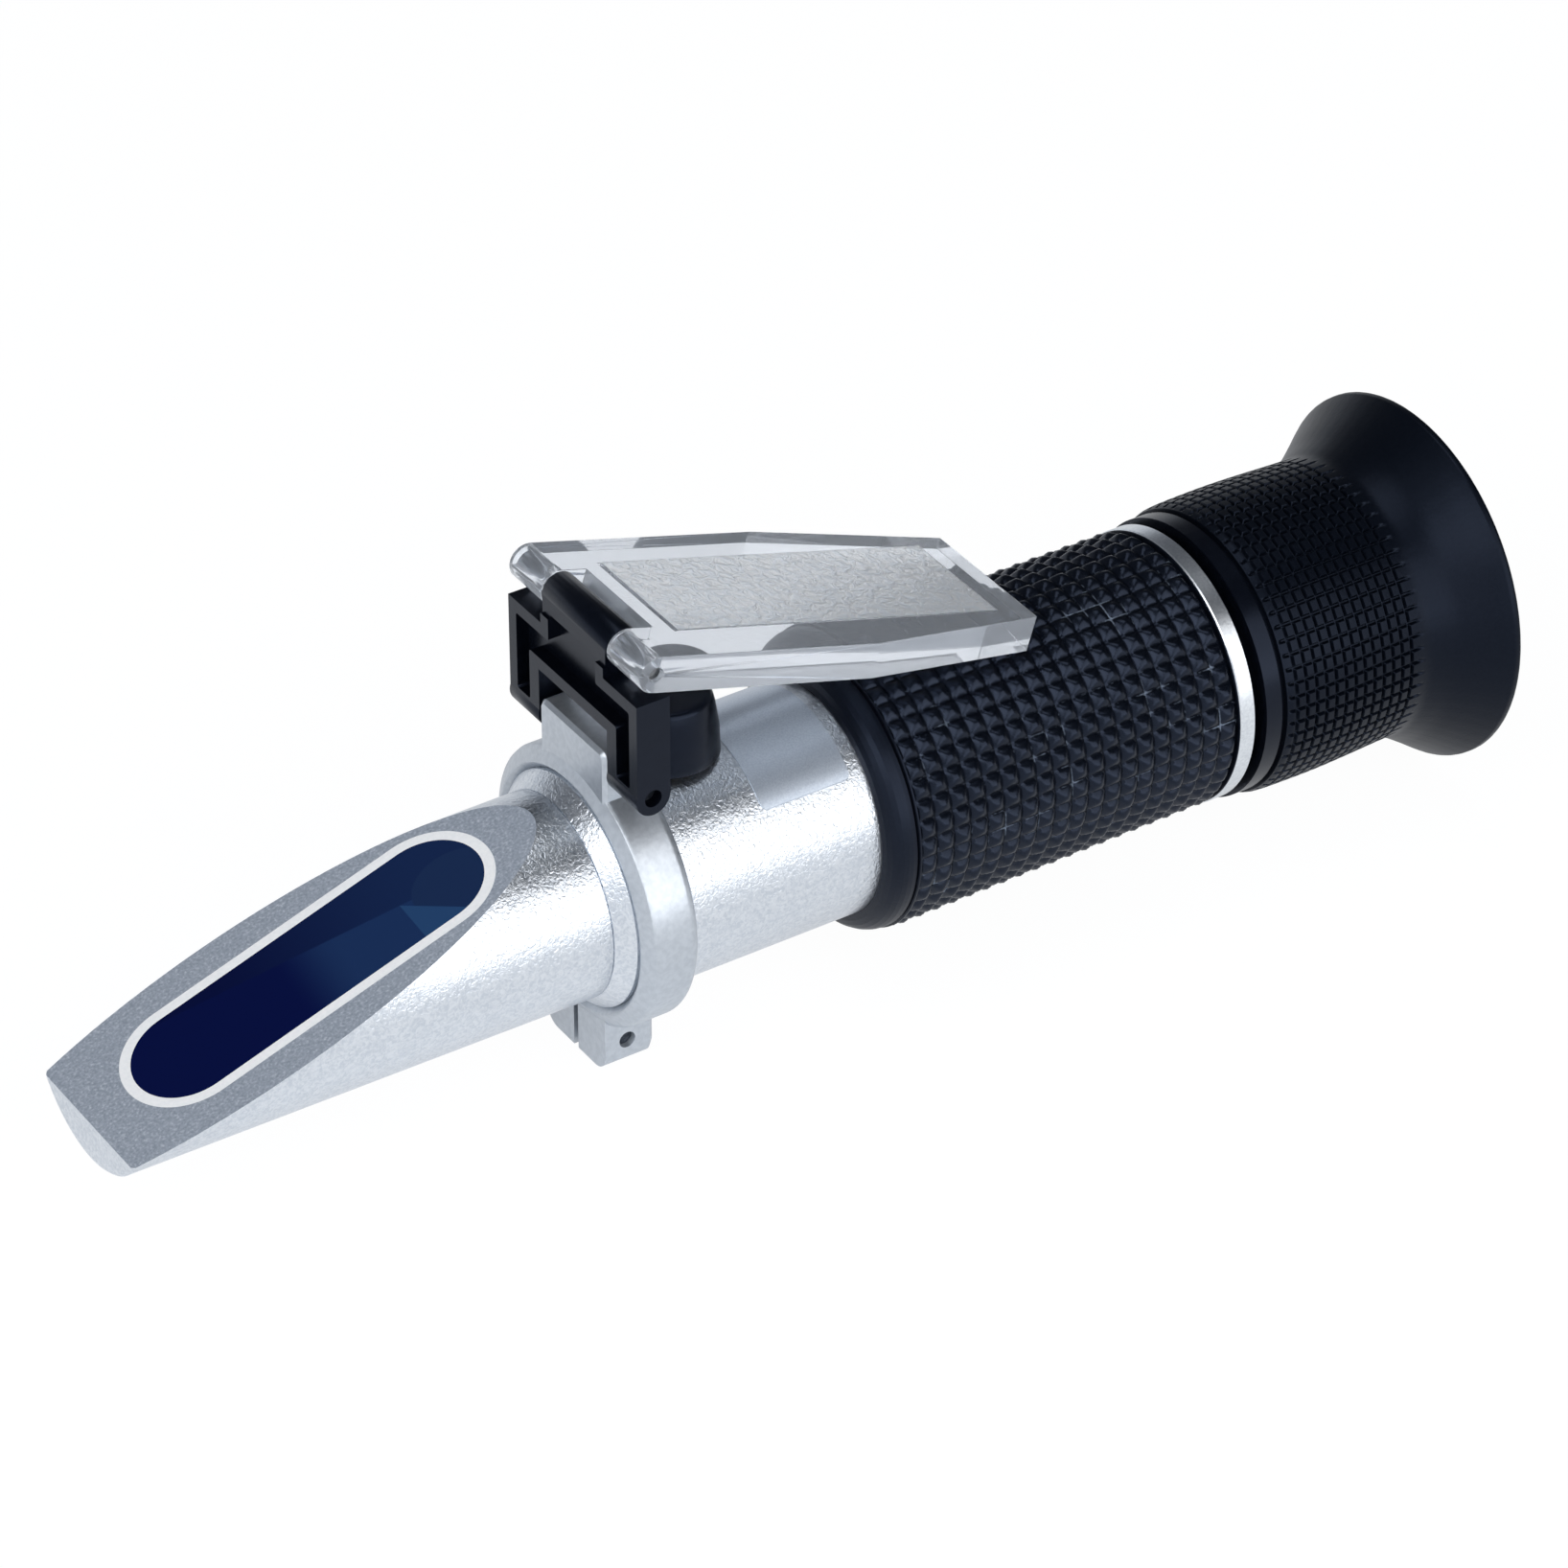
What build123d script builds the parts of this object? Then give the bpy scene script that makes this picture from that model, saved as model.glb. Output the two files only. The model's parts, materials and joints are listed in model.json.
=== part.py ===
"""Handheld refractometer with a slanted prism head, a swing-over daylight plate and a focusing eyepiece.

Units are millimetres. Every piece is modelled along the optical axis, with x = 0 at the head's tip,
x growing towards the eye and z = 0 on the optical axis. When it is saved, each piece is moved to the
shared frame: the origin is the centre of the footprint, on the surface that the instrument lies on.
"""

from math import cos, radians, sin, sqrt
import os

from build123d import *

# Clearances
PUSH_FIT = 0.02         # radial, between pieces that stay put
RUNNING_FIT = 0.05      # radial, between pieces that turn or slide
BASE_GAP = 0.12         # under the calibration cap's flat base

# Prism head: a round casting cut at a slant
HEAD_TIP_R = 10.59
HEAD_REAR_R = 10.88
HEAD_LENGTH = 52.4
FACE_ANGLE = 18.6       # slant of the sample face to the optical axis, degrees
FACE_TIP_Z = -5.86      # height of the slanted face at the tip
HEAD_EDGE = 0.3
HEAD_REAR_EDGE = 0.15
SPIGOT_LENGTH = 6.1     # rear spigot that enters the main tube
HEAD_SEAL_SETBACK = 2.5
HEAD_SEAL_WIDTH = 1.2
HEAD_SEAL_DEPTH = 0.8

# Sample window: a stadium on the slanted face, measured along the face from the tip
SEAL_START = 4.70
SEAL_END = 46.96
SEAL_HALF_WIDTH = 6.95
SEAL_BAND = 1.16
WINDOW_DEPTH = 1.8

# Main prism under the window
PRISM_HALF_WIDTH = 4.6
PRISM_BOTTOM_Z = -6.4
PRISM_TOP_FRONT = 8.5   # x of the block's front edge at the window's underside
PRISM_LOW_FRONT = 10.5
PRISM_REAR = 42.5
PRISM_CEMENT = 0.1
LIGHT_BORE_R = 5.6
HEAD_BORE_R = 8.0
HEAD_BORE_START = 50.0

# Main tube
TUBE_R = 12.42
TUBE_BORE_R = 10.6
NOSE_LENGTH = 1.65      # cone in front of the clamp ring
NOSE_TIP_R = 10.9
TUBE_LENGTH = 72.6      # behind the head's rear edge

# Clamp ring with its boss and lugs
RING_SETBACK = 1.5      # behind the head's rear edge
RING_LENGTH = 6.0
RING_R = 14.85
RING_BEVEL = 0.8
RING_BEVEL_R = 13.3
RING_ROUND = 1.1
RING_MOUTH = 0.7        # bevel inside the ring's front edge
BOSS_HALF_WIDTH = 5.95
BOSS_INSET = 0.6        # behind the ring's front
BOSS_LENGTH = 5.3
BOSS_TOP_Z = 19.3
BOSS_ROUND = 1.0
LUG_HALF_WIDTH = 5.5
LUG_INSET = 0.5         # behind the ring's front
LUG_LENGTH = 5.85
LUG_BOTTOM_Z = -19.65
LUG_ROUND = 1.95
LUG_SLOT = 0.8
CLAMP_SETBACK = 3.1     # behind the ring's front
CLAMP_Z = -16.45
CLAMP_SCREW_R = 0.9
CLAMP_HEAD_R = 1.7
CLAMP_HEAD_LENGTH = 1.3
CLAMP_RECESS = 0.7      # the screw's point stops this far inside the near lug

# Tilting bracket
PIN_SETBACK = 2.6       # behind the ring's front
PIN_Z = 16.85
PIN_R = 0.9
PIN_INSET = 1.2         # of its ends inside the legs' sides
BRACKET_INSET = 0.8     # behind the ring's front
BRACKET_THICKNESS = 3.75
BRACKET_HALF_WIDTH = 11.7
LEG_GAP_HALF = 6.25
LEG_END_R = 1.9
CROSSBAR_Z = 22.3
SHOULDER_Z = 28.05
NECK_HALF_WIDTH = 5.7
RECESS_DEPTH = 1.45
RECESS_RIM = 1.4
RECESS_INNER_RIM = 1.7  # beside the gap between the legs
RECESS_NECK_Z = 29.6
RECESS_LEG_Z = 17.85
BRACKET_CORNER = 0.3
HINGE_SETBACK = 3.0     # behind the ring's front
HINGE_Z = 31.1
BARREL_R = 1.93
BARREL_HALF_LENGTH = 5.8
HINGE_PIN_R = 0.75
HINGE_PIN_INSET = 0.6   # of its ends inside the plate's sides

# Daylight plate, measured along itself from the hinge axis
PLATE_SLOPE = 16.96     # degrees below level, lying back on the grip
PLATE_THICKNESS = 3.87
PLATE_LENGTH = 48.2
PLATE_HALF_WIDTH = 11.85
PLATE_TAPER_START = 26.3
PLATE_END_HALF_WIDTH = 8.54
PLATE_NOTCH = 2.8
PLATE_NOTCH_HALF_WIDTH = 5.95
PAD_START = 5.15
PAD_END = 44.3
PAD_HALF_WIDTH = 6.95
PAD_HEIGHT = 0.1
PAD_GROOVE = 0.35

# Calibration screw, its bush and its cap
SCREW_SETBACK = 5.5     # behind the clamp ring
BUSH_R = 3.5
BUSH_SHANK_R = 3.0
BUSH_LOW_Z = 10.85
BUSH_TOP_Z = 16.6
SCREW_R = 1.5
SCREW_HEAD_R = 2.3
SCREW_HEAD_Z = 14.9     # seat of the screw's head
SCREW_TOP_Z = 16.2
SCREW_SLOT = 0.6
ECCENTRIC_OFFSET = 0.6
ECCENTRIC_R = 0.8
ECCENTRIC_LOW_Z = 8.7
CAP_BASE_R = 5.3
CAP_WAIST_R = 5.2
CAP_WAIST_Z = 15.2
CAP_SHOULDER_R = 4.8
CAP_SHOULDER_Z = 17.9
CAP_TOP_R = 4.4
CAP_TOP_Z = 19.45
CAP_ROUND = 0.8
CAP_HOLLOW_TOP_Z = 17.5

# Scale label
LABEL_SETBACK = 5.25    # behind the calibration screw
LABEL_LENGTH = 10.35
LABEL_HALF_ANGLE = 48.0
LABEL_THICKNESS = 0.08
LABEL_ROUND = 0.6

# Grip
GRIP_SETBACK = 1.6      # behind the label
COLLAR_SHAPE = [
    (0, 12.6), (0.12, 13.2), (0.4, 13.8), (0.8, 14.25), (1.3, 14.55), (1.8, 14.72), (2.3, 14.78),
    (2.75, 14.75)]
GROOVE_LENGTH = 0.2
GROOVE_R = 14.3
SLEEVE_LIP_R = 14.95
LIP_LENGTH = 0.35
KNURL_FRONT_R = 15.15
KNURL_REAR_R = 14.94

# Trim ring
TRIM_LENGTH = 1.9
TRIM_R = 14.9

# Eyepiece neck
NECK_SPIGOT = 19.0      # inside the tube
NECK_SEAT_R = 12.0
FLANGE_R = 13.6
FLANGE_LENGTH = 0.3
NECK_R = 12.9
NECK_REACH = 18.4       # behind the tube
NECK_BORE_R = 9.6
RETICLE_R = 9.2
RETICLE_INSET = 3.5     # behind the neck's front
RETICLE_THICKNESS = 1.5
RETICLE_RING_LENGTH = 1.6
FIELD_STOP_R = 7.8
FIELD_STOP_LENGTH = 1.0

# Focus barrel
BAND_SETBACK = 3.05     # behind the tube
BAND_LENGTH = 1.95
BAND_R = 15.2
STEP_LENGTH = 0.5
STEP_R = 14.9
BARREL_OUTER_R = 14.4
BARREL_LENGTH = 20.95
BARREL_POCKET_LENGTH = 3.8
BARREL_LIP_LENGTH = 0.7
BARREL_LIP_R = 10.0
BARREL_POCKET_R = 11.6

# Eyepiece carriage and lenses
CARRIAGE_INSET = 8.0    # behind the neck's front
CARRIAGE_LIP = 0.8
CARRIAGE_LIP_R = 7.9
CARRIAGE_BORE_R = 8.6
CARRIAGE_FLANGE_LENGTH = 1.5
FIELD_LENS_THICKNESS = 3.5
EYE_RING_LENGTH = 2.35
SPACER_BORE_R = 7.6
EYE_LENS_THICKNESS = 4.4
EYE_RING_BORE_R = 8.0
LENS_BULGE = 1.0
LENS_RIM = 1.05         # flat rim round each curved lens face
CARRIAGE_RING_LENGTH = 1.4
CARRIAGE_RING_BORE_R = 9.7
KEY_SETBACK = 7.0       # behind the tube
KEY_R = 0.8
KEY_TIP = 9.15
KEY_SLOT_BOTTOM = 9.0
FOCUS_IN = 0.75         # travel towards the tube
FOCUS_OUT = 3.2         # travel towards the eye

# Objective
CARRIER_LEAD = 4.9      # in front of the calibration screw
CARRIER_LENGTH = 13.5
CARRIER_BORE_R = 7.4
CARRIER_SEAT_R = 8.3
CARRIER_SEAT_SETBACK = 2.1
CARRIER_SLOT_HALF_LENGTH = 2.2
CROWN_THICKNESS = 2.2
FLINT_THICKNESS = 1.6
OBJECTIVE_RING_LENGTH = 1.6
BAFFLE_SETBACK = 13.9   # behind the carrier
BAFFLE_LENGTH = 4.0
BAFFLE_BORE_R = 6.5

# Eyecup
CUP_SLEEVE_SHAPE = [(0, 15.45), (0.7, 15.68), (4.0, 15.8), (8.0, 15.82), (12.0, 15.7), (17.2, 15.5)]
CUP_FLARE_SHAPE = [
    (17.2, 15.5), (18.4, 15.55), (19.6, 15.95), (21.0, 16.6), (22.4, 17.5), (24.0, 18.6), (25.4, 19.6),
    (26.1, 19.97)]
RIM_R = 20.03
CUP_LENGTH = 26.75
RIM_INNER_R = 19.1
CUP_BOWL_SHAPE = [(26.3, 18.95), (25.4, 18.2), (24.3, 17.1), (23.2, 15.8), (22.4, 14.2), (22.0, 12.8)]
THROAT_R = 11.0
THROAT_LENGTH = 3.2

# Stations that follow from those lengths
SPIGOT_END = HEAD_LENGTH + SPIGOT_LENGTH
TUBE_END = HEAD_LENGTH + TUBE_LENGTH
RING_FRONT = HEAD_LENGTH + RING_SETBACK
RING_REAR = RING_FRONT + RING_LENGTH
BOSS_FRONT = RING_FRONT + BOSS_INSET
LUG_FRONT = RING_FRONT + LUG_INSET
CLAMP_X = RING_FRONT + CLAMP_SETBACK
PIN_X = RING_FRONT + PIN_SETBACK
BRACKET_FRONT = RING_FRONT + BRACKET_INSET
BRACKET_REAR = BRACKET_FRONT + BRACKET_THICKNESS
HINGE_X = RING_FRONT + HINGE_SETBACK
SCREW_X = RING_REAR + SCREW_SETBACK
CARRIER_FRONT = SCREW_X - CARRIER_LEAD
CARRIER_END = CARRIER_FRONT + CARRIER_LENGTH
CARRIER_SEAT = SCREW_X + CARRIER_SEAT_SETBACK
BAFFLE_FRONT = CARRIER_END + BAFFLE_SETBACK
LABEL_FRONT = SCREW_X + LABEL_SETBACK
COLLAR_FRONT = LABEL_FRONT + LABEL_LENGTH + GRIP_SETBACK
COLLAR_REAR = COLLAR_FRONT + COLLAR_SHAPE[-1][0]
SLEEVE_FRONT = COLLAR_REAR + GROOVE_LENGTH
KNURL_FRONT = SLEEVE_FRONT + LIP_LENGTH
TRIM_END = TUBE_END + TRIM_LENGTH
NECK_FRONT = TUBE_END - NECK_SPIGOT
NECK_END = TUBE_END + NECK_REACH
RETICLE_SEAT = NECK_FRONT + RETICLE_INSET
BAND_FRONT = TUBE_END + BAND_SETBACK
BARREL_END = BAND_FRONT + BARREL_LENGTH
CUP_FRONT = BAND_FRONT + BAND_LENGTH + STEP_LENGTH
POCKET_FRONT = BARREL_END - BARREL_POCKET_LENGTH
BARREL_LIP_FRONT = POCKET_FRONT - BARREL_LIP_LENGTH
FLANGE_FRONT = POCKET_FRONT + RUNNING_FIT
CARRIAGE_FRONT = NECK_FRONT + CARRIAGE_INSET
CARRIAGE_END = FLANGE_FRONT + CARRIAGE_FLANGE_LENGTH
FIELD_LENS_FRONT = CARRIAGE_FRONT + CARRIAGE_LIP
SPACER_FRONT = FIELD_LENS_FRONT + FIELD_LENS_THICKNESS
EYE_RING_FRONT = CARRIAGE_END - EYE_RING_LENGTH
EYE_LENS_FRONT = EYE_RING_FRONT - EYE_LENS_THICKNESS
KEY_X = TUBE_END + KEY_SETBACK
LENGTH = CUP_FRONT + CUP_LENGTH

# Radii that follow from them
PLATE_HALF_THICKNESS = PLATE_THICKNESS / 2
BARREL_BORE_R = NECK_R + RUNNING_FIT
CARRIAGE_R = NECK_BORE_R - RUNNING_FIT
CARRIER_R = TUBE_BORE_R - RUNNING_FIT

FACE = Plane(origin=(0, 0, FACE_TIP_Z), x_dir=(cos(radians(FACE_ANGLE)), 0, sin(radians(FACE_ANGLE))),
             z_dir=(-sin(radians(FACE_ANGLE)), 0, cos(radians(FACE_ANGLE))))
PLATE = Plane(origin=(HINGE_X, 0, HINGE_Z), x_dir=(cos(radians(PLATE_SLOPE)), 0, -sin(radians(PLATE_SLOPE))),
              z_dir=(sin(radians(PLATE_SLOPE)), 0, cos(radians(PLATE_SLOPE))))


def face_height(x):
    """Height of the slanted sample face at station x."""
    return FACE_TIP_Z + x * sin(radians(FACE_ANGLE)) / cos(radians(FACE_ANGLE))


def side_face(points):
    """Flat outline in the upright plane through the optical axis."""
    return Plane.XZ * make_face(Polyline(*points, close=True))


def turned(points):
    """Solid turned about the optical axis from (station, radius) points."""
    return revolve(side_face(points), Axis.X, 360)


def rod(start, end, radius):
    """Round bar along the optical axis."""
    return Pos((start + end) / 2, 0, 0) * Rot(0, 90, 0) * Cylinder(radius, end - start)


def ring(start, end, outer, inner):
    """Round sleeve along the optical axis."""
    return rod(start, end, outer) - rod(start, end, inner)


def block(x_range, y_range, z_range):
    """Rectangular block between pairs of coordinates."""
    size = [high - low for low, high in (x_range, y_range, z_range)]
    middle = [(high + low) / 2 for low, high in (x_range, y_range, z_range)]
    return Pos(*middle) * Box(*size)


def cross_pin(x, z, radius, y_range):
    """Round bar across the instrument."""
    low, high = y_range
    return Pos(x, (low + high) / 2, z) * Rot(90, 0, 0) * Cylinder(radius, high - low)


def upright_pin(x, radius, z_range, y=0):
    """Round bar standing up from the optical axis."""
    low, high = z_range
    return Pos(x, y, (low + high) / 2) * Cylinder(radius, high - low)


def stadium(start, end, half_width, depth):
    """Stadium-shaped plug let into the slanted face."""
    middle = (start + end) / 2
    outline = FACE * (Pos(middle, 0, 0) * SlotOverall(end - start, 2 * half_width))
    return extrude(outline, -depth)


def prism_block(half_width, front_slack):
    """Block of the measuring prism, up to the underside of its window."""
    drop = WINDOW_DEPTH / cos(radians(FACE_ANGLE))
    points = [
        (PRISM_TOP_FRONT - front_slack, face_height(PRISM_TOP_FRONT - front_slack) - drop),
        (PRISM_LOW_FRONT - front_slack, PRISM_BOTTOM_Z),
        (PRISM_REAR, PRISM_BOTTOM_Z),
        (PRISM_REAR, face_height(PRISM_REAR) - drop),
    ]
    return extrude(side_face(points), half_width, both=True)


def make_prism_head():
    """Round cast head, cut at a slant and bored for the light."""
    spigot_r = TUBE_BORE_R - PUSH_FIT
    head = turned([
        (0, 0), (0, HEAD_TIP_R - HEAD_EDGE), (HEAD_EDGE, HEAD_TIP_R),
        (HEAD_LENGTH - HEAD_REAR_EDGE, HEAD_REAR_R), (HEAD_LENGTH, HEAD_REAR_R - HEAD_REAR_EDGE),
        (HEAD_LENGTH, spigot_r), (SPIGOT_END, spigot_r), (SPIGOT_END, 0)])
    above = [(-1, face_height(-1)), (HEAD_LENGTH, face_height(HEAD_LENGTH)), (HEAD_LENGTH, 20), (-1, 20)]
    head -= extrude(side_face(above), 15, both=True)
    head -= stadium(SEAL_START, SEAL_END, SEAL_HALF_WIDTH, WINDOW_DEPTH)
    head -= prism_block(PRISM_HALF_WIDTH + PRISM_CEMENT, PRISM_CEMENT)
    head -= rod(PRISM_REAR, HEAD_BORE_START, LIGHT_BORE_R)
    head -= rod(HEAD_BORE_START, SPIGOT_END, HEAD_BORE_R)
    seal_front = HEAD_LENGTH + HEAD_SEAL_SETBACK
    head -= ring(seal_front, seal_front + HEAD_SEAL_WIDTH, TUBE_BORE_R, TUBE_BORE_R - HEAD_SEAL_DEPTH)
    return head


def make_main_prism():
    """Measuring prism: a stadium window on top of a plain block."""
    window = stadium(SEAL_START + SEAL_BAND, SEAL_END - SEAL_BAND, SEAL_HALF_WIDTH - SEAL_BAND, WINDOW_DEPTH)
    return window + prism_block(PRISM_HALF_WIDTH, 0)


def make_prism_seal():
    """Sealing band between the glass and the head, flush with both."""
    seal = stadium(SEAL_START, SEAL_END, SEAL_HALF_WIDTH, WINDOW_DEPTH)
    seal -= stadium(SEAL_START + SEAL_BAND, SEAL_END - SEAL_BAND, SEAL_HALF_WIDTH - SEAL_BAND, WINDOW_DEPTH)
    return seal


def make_head_seal():
    """Rubber ring in the spigot's groove."""
    front = HEAD_LENGTH + HEAD_SEAL_SETBACK
    return ring(front, front + HEAD_SEAL_WIDTH, TUBE_BORE_R, TUBE_BORE_R - HEAD_SEAL_DEPTH)


def make_main_tube():
    """Body tube with a cone nose and a hole for the calibration bush."""
    nose_end = HEAD_LENGTH + NOSE_LENGTH
    tube = turned([
        (HEAD_LENGTH, 0), (HEAD_LENGTH, NOSE_TIP_R), (nose_end, TUBE_R), (TUBE_END, TUBE_R), (TUBE_END, 0)])
    tube -= rod(HEAD_LENGTH, TUBE_END, TUBE_BORE_R)
    tube -= upright_pin(SCREW_X, BUSH_SHANK_R + PUSH_FIT, (0, TUBE_R + 1))
    return tube


def make_clamp_ring():
    """Ring on the tube, with the bracket's boss on top and split lugs below."""
    bore = TUBE_R + PUSH_FIT
    ring_front = RING_FRONT + RING_BEVEL
    body = turned([
        (RING_FRONT, 0), (RING_FRONT, RING_BEVEL_R), (ring_front, RING_R - 0.15), (ring_front + 0.4, RING_R),
        (RING_REAR, RING_R), (RING_REAR, 0)])
    body = fillet(body.faces().sort_by(Axis.X)[-1].edges(), RING_ROUND)
    boss = block((BOSS_FRONT, BOSS_FRONT + BOSS_LENGTH), (-BOSS_HALF_WIDTH, BOSS_HALF_WIDTH), (0, BOSS_TOP_Z))
    boss = fillet(boss.edges().filter_by(Axis.X).group_by(Axis.Z)[-1], BOSS_ROUND)
    boss = chamfer(boss.faces().sort_by(Axis.Z)[-1].edges().filter_by(Axis.Y), 0.4)
    lugs = block((LUG_FRONT, LUG_FRONT + LUG_LENGTH), (-LUG_HALF_WIDTH, LUG_HALF_WIDTH), (LUG_BOTTOM_Z, 0))
    lugs = fillet(lugs.edges().filter_by(Axis.X).group_by(Axis.Z)[0], LUG_ROUND)
    lugs = chamfer(lugs.edges().filter_by(Axis.Y).group_by(Axis.Z)[0].sort_by(Axis.X)[-1], 0.6)
    body += boss + lugs
    body -= rod(RING_FRONT - 1, RING_REAR + 1, bore)
    mouth = RING_FRONT + RING_MOUTH
    body -= turned([(RING_FRONT, 0), (RING_FRONT, bore + RING_MOUTH), (mouth, bore), (mouth, 0)])
    body -= block((RING_FRONT - 1, RING_REAR + 1), (-LUG_SLOT / 2, LUG_SLOT / 2), (LUG_BOTTOM_Z - 1, 0))
    body -= cross_pin(PIN_X, PIN_Z, PIN_R + PUSH_FIT, (-BOSS_HALF_WIDTH - 1, BOSS_HALF_WIDTH + 1))
    body -= cross_pin(CLAMP_X, CLAMP_Z, CLAMP_SCREW_R + PUSH_FIT, (-LUG_HALF_WIDTH - 1, LUG_HALF_WIDTH + 1))
    head_seat = LUG_HALF_WIDTH - CLAMP_HEAD_LENGTH
    body -= cross_pin(CLAMP_X, CLAMP_Z, CLAMP_HEAD_R + PUSH_FIT, (head_seat, LUG_HALF_WIDTH + 1))
    return body


def make_clamp_screw():
    """Cheese-head screw that draws the lugs together."""
    head_seat = LUG_HALF_WIDTH - CLAMP_HEAD_LENGTH
    screw = cross_pin(CLAMP_X, CLAMP_Z, CLAMP_SCREW_R, (CLAMP_RECESS - LUG_HALF_WIDTH, head_seat))
    screw += cross_pin(CLAMP_X, CLAMP_Z, CLAMP_HEAD_R, (head_seat, LUG_HALF_WIDTH - 0.1))
    slot_depth = LUG_HALF_WIDTH - 0.7
    half_slot = SCREW_SLOT / 2
    slot_z = (CLAMP_Z - half_slot, CLAMP_Z + half_slot)
    screw -= block((CLAMP_X - 3, CLAMP_X + 3), (slot_depth, LUG_HALF_WIDTH), slot_z)
    return screw


def make_bracket_pin():
    """Pin fixed in the boss; the bracket's legs turn on its ends."""
    end = BRACKET_HALF_WIDTH - PIN_INSET
    return cross_pin(PIN_X, PIN_Z, PIN_R, (-end, end))


def make_hinge_bracket():
    """Two-legged bracket with a recessed front and the plate's hinge barrel."""
    thickness = (BRACKET_FRONT, BRACKET_REAR)
    leg_top = PIN_Z
    bracket = block(thickness, (-BRACKET_HALF_WIDTH, BRACKET_HALF_WIDTH), (leg_top, SHOULDER_Z))
    bracket += block(thickness, (-NECK_HALF_WIDTH, NECK_HALF_WIDTH), (SHOULDER_Z, HINGE_Z))
    bracket += cross_pin(PIN_X, PIN_Z, LEG_END_R, (-BRACKET_HALF_WIDTH, BRACKET_HALF_WIDTH))
    gap_z = (PIN_Z - LEG_END_R - 1, CROSSBAR_Z)
    bracket -= block((BRACKET_FRONT - 1, BRACKET_REAR + 1), (-LEG_GAP_HALF, LEG_GAP_HALF), gap_z)
    neck_y = (-NECK_HALF_WIDTH - 1, NECK_HALF_WIDTH + 1)
    neck_z = (HINGE_Z - BARREL_R, HINGE_Z + 1)
    bracket -= block((BRACKET_FRONT - 1, HINGE_X - BARREL_R), neck_y, neck_z)
    bracket += cross_pin(HINGE_X, HINGE_Z, BARREL_R, (-BARREL_HALF_LENGTH, BARREL_HALF_LENGTH))
    pocket_depth = (BRACKET_FRONT - 1, BRACKET_FRONT + RECESS_DEPTH)
    pocket_outer = BRACKET_HALF_WIDTH - RECESS_RIM
    pocket_inner = LEG_GAP_HALF + RECESS_INNER_RIM
    pocket_top = SHOULDER_Z - RECESS_RIM
    pocket = block(pocket_depth, (-pocket_outer, pocket_outer), (CROSSBAR_Z + RECESS_RIM, pocket_top))
    for low, high in ((pocket_inner, pocket_outer), (-pocket_outer, -pocket_inner)):
        pocket += block(pocket_depth, (low, high), (RECESS_LEG_Z, pocket_top))
    neck_inner = NECK_HALF_WIDTH - RECESS_RIM
    pocket += block(pocket_depth, (-neck_inner, neck_inner), (CROSSBAR_Z + RECESS_RIM, RECESS_NECK_Z))
    bracket -= fillet(pocket.edges().filter_by(Axis.X), BRACKET_CORNER)
    leg_y = (-BRACKET_HALF_WIDTH - 1, BRACKET_HALF_WIDTH + 1)
    bracket -= cross_pin(PIN_X, PIN_Z, PIN_R + RUNNING_FIT, leg_y)
    barrel_y = (-BARREL_HALF_LENGTH - 1, BARREL_HALF_LENGTH + 1)
    bracket -= cross_pin(HINGE_X, HINGE_Z, HINGE_PIN_R + PUSH_FIT, barrel_y)
    return bracket


def make_plate_hinge_pin():
    """Steel pin pressed into the bracket's barrel."""
    end = PLATE_HALF_WIDTH - HINGE_PIN_INSET
    return cross_pin(HINGE_X, HINGE_Z, HINGE_PIN_R, (-end, end))


def make_daylight_plate():
    """Clear moulded plate with two knuckles and a frosted pad."""
    near_side = [
        (0, -PLATE_HALF_WIDTH), (PLATE_TAPER_START, -PLATE_HALF_WIDTH), (PLATE_LENGTH, -PLATE_END_HALF_WIDTH)]
    far_side = [(x, -y) for x, y in reversed(near_side)]
    outline = Polyline(*near_side, *far_side, close=True)
    plate = extrude(make_face(outline), PLATE_HALF_THICKNESS, both=True)
    plate += cross_pin(0, 0, PLATE_HALF_THICKNESS, (-PLATE_HALF_WIDTH, PLATE_HALF_WIDTH))
    notch = PLATE_NOTCH_HALF_WIDTH
    plate -= block((-3, PLATE_NOTCH), (-notch, notch), (-3, 3))
    top = PLATE_HALF_THICKNESS
    plate += block((PAD_START, PAD_END), (-PAD_HALF_WIDTH, PAD_HALF_WIDTH), (top - 0.5, top + PAD_HEIGHT))
    groove_x = (PAD_START - PAD_GROOVE, PAD_START)
    plate -= block(groove_x, (-PAD_HALF_WIDTH, PAD_HALF_WIDTH), (top - PAD_GROOVE, top + 1))
    plate -= cross_pin(0, 0, HINGE_PIN_R + RUNNING_FIT, (-PLATE_HALF_WIDTH - 1, PLATE_HALF_WIDTH + 1))
    return PLATE.location * plate


def make_screw_bush():
    """Bush in the tube wall that the calibration screw turns in."""
    bush = upright_pin(SCREW_X, BUSH_R, (BUSH_LOW_Z, BUSH_TOP_Z)) - rod(SCREW_X - 5, SCREW_X + 5, TUBE_R)
    bush += upright_pin(SCREW_X, BUSH_SHANK_R, (BUSH_LOW_Z, BUSH_TOP_Z))
    bush -= upright_pin(SCREW_X, SCREW_R + RUNNING_FIT, (0, BUSH_TOP_Z + 1))
    bush -= upright_pin(SCREW_X, SCREW_HEAD_R + RUNNING_FIT, (SCREW_HEAD_Z, BUSH_TOP_Z + 1))
    return bush


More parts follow.
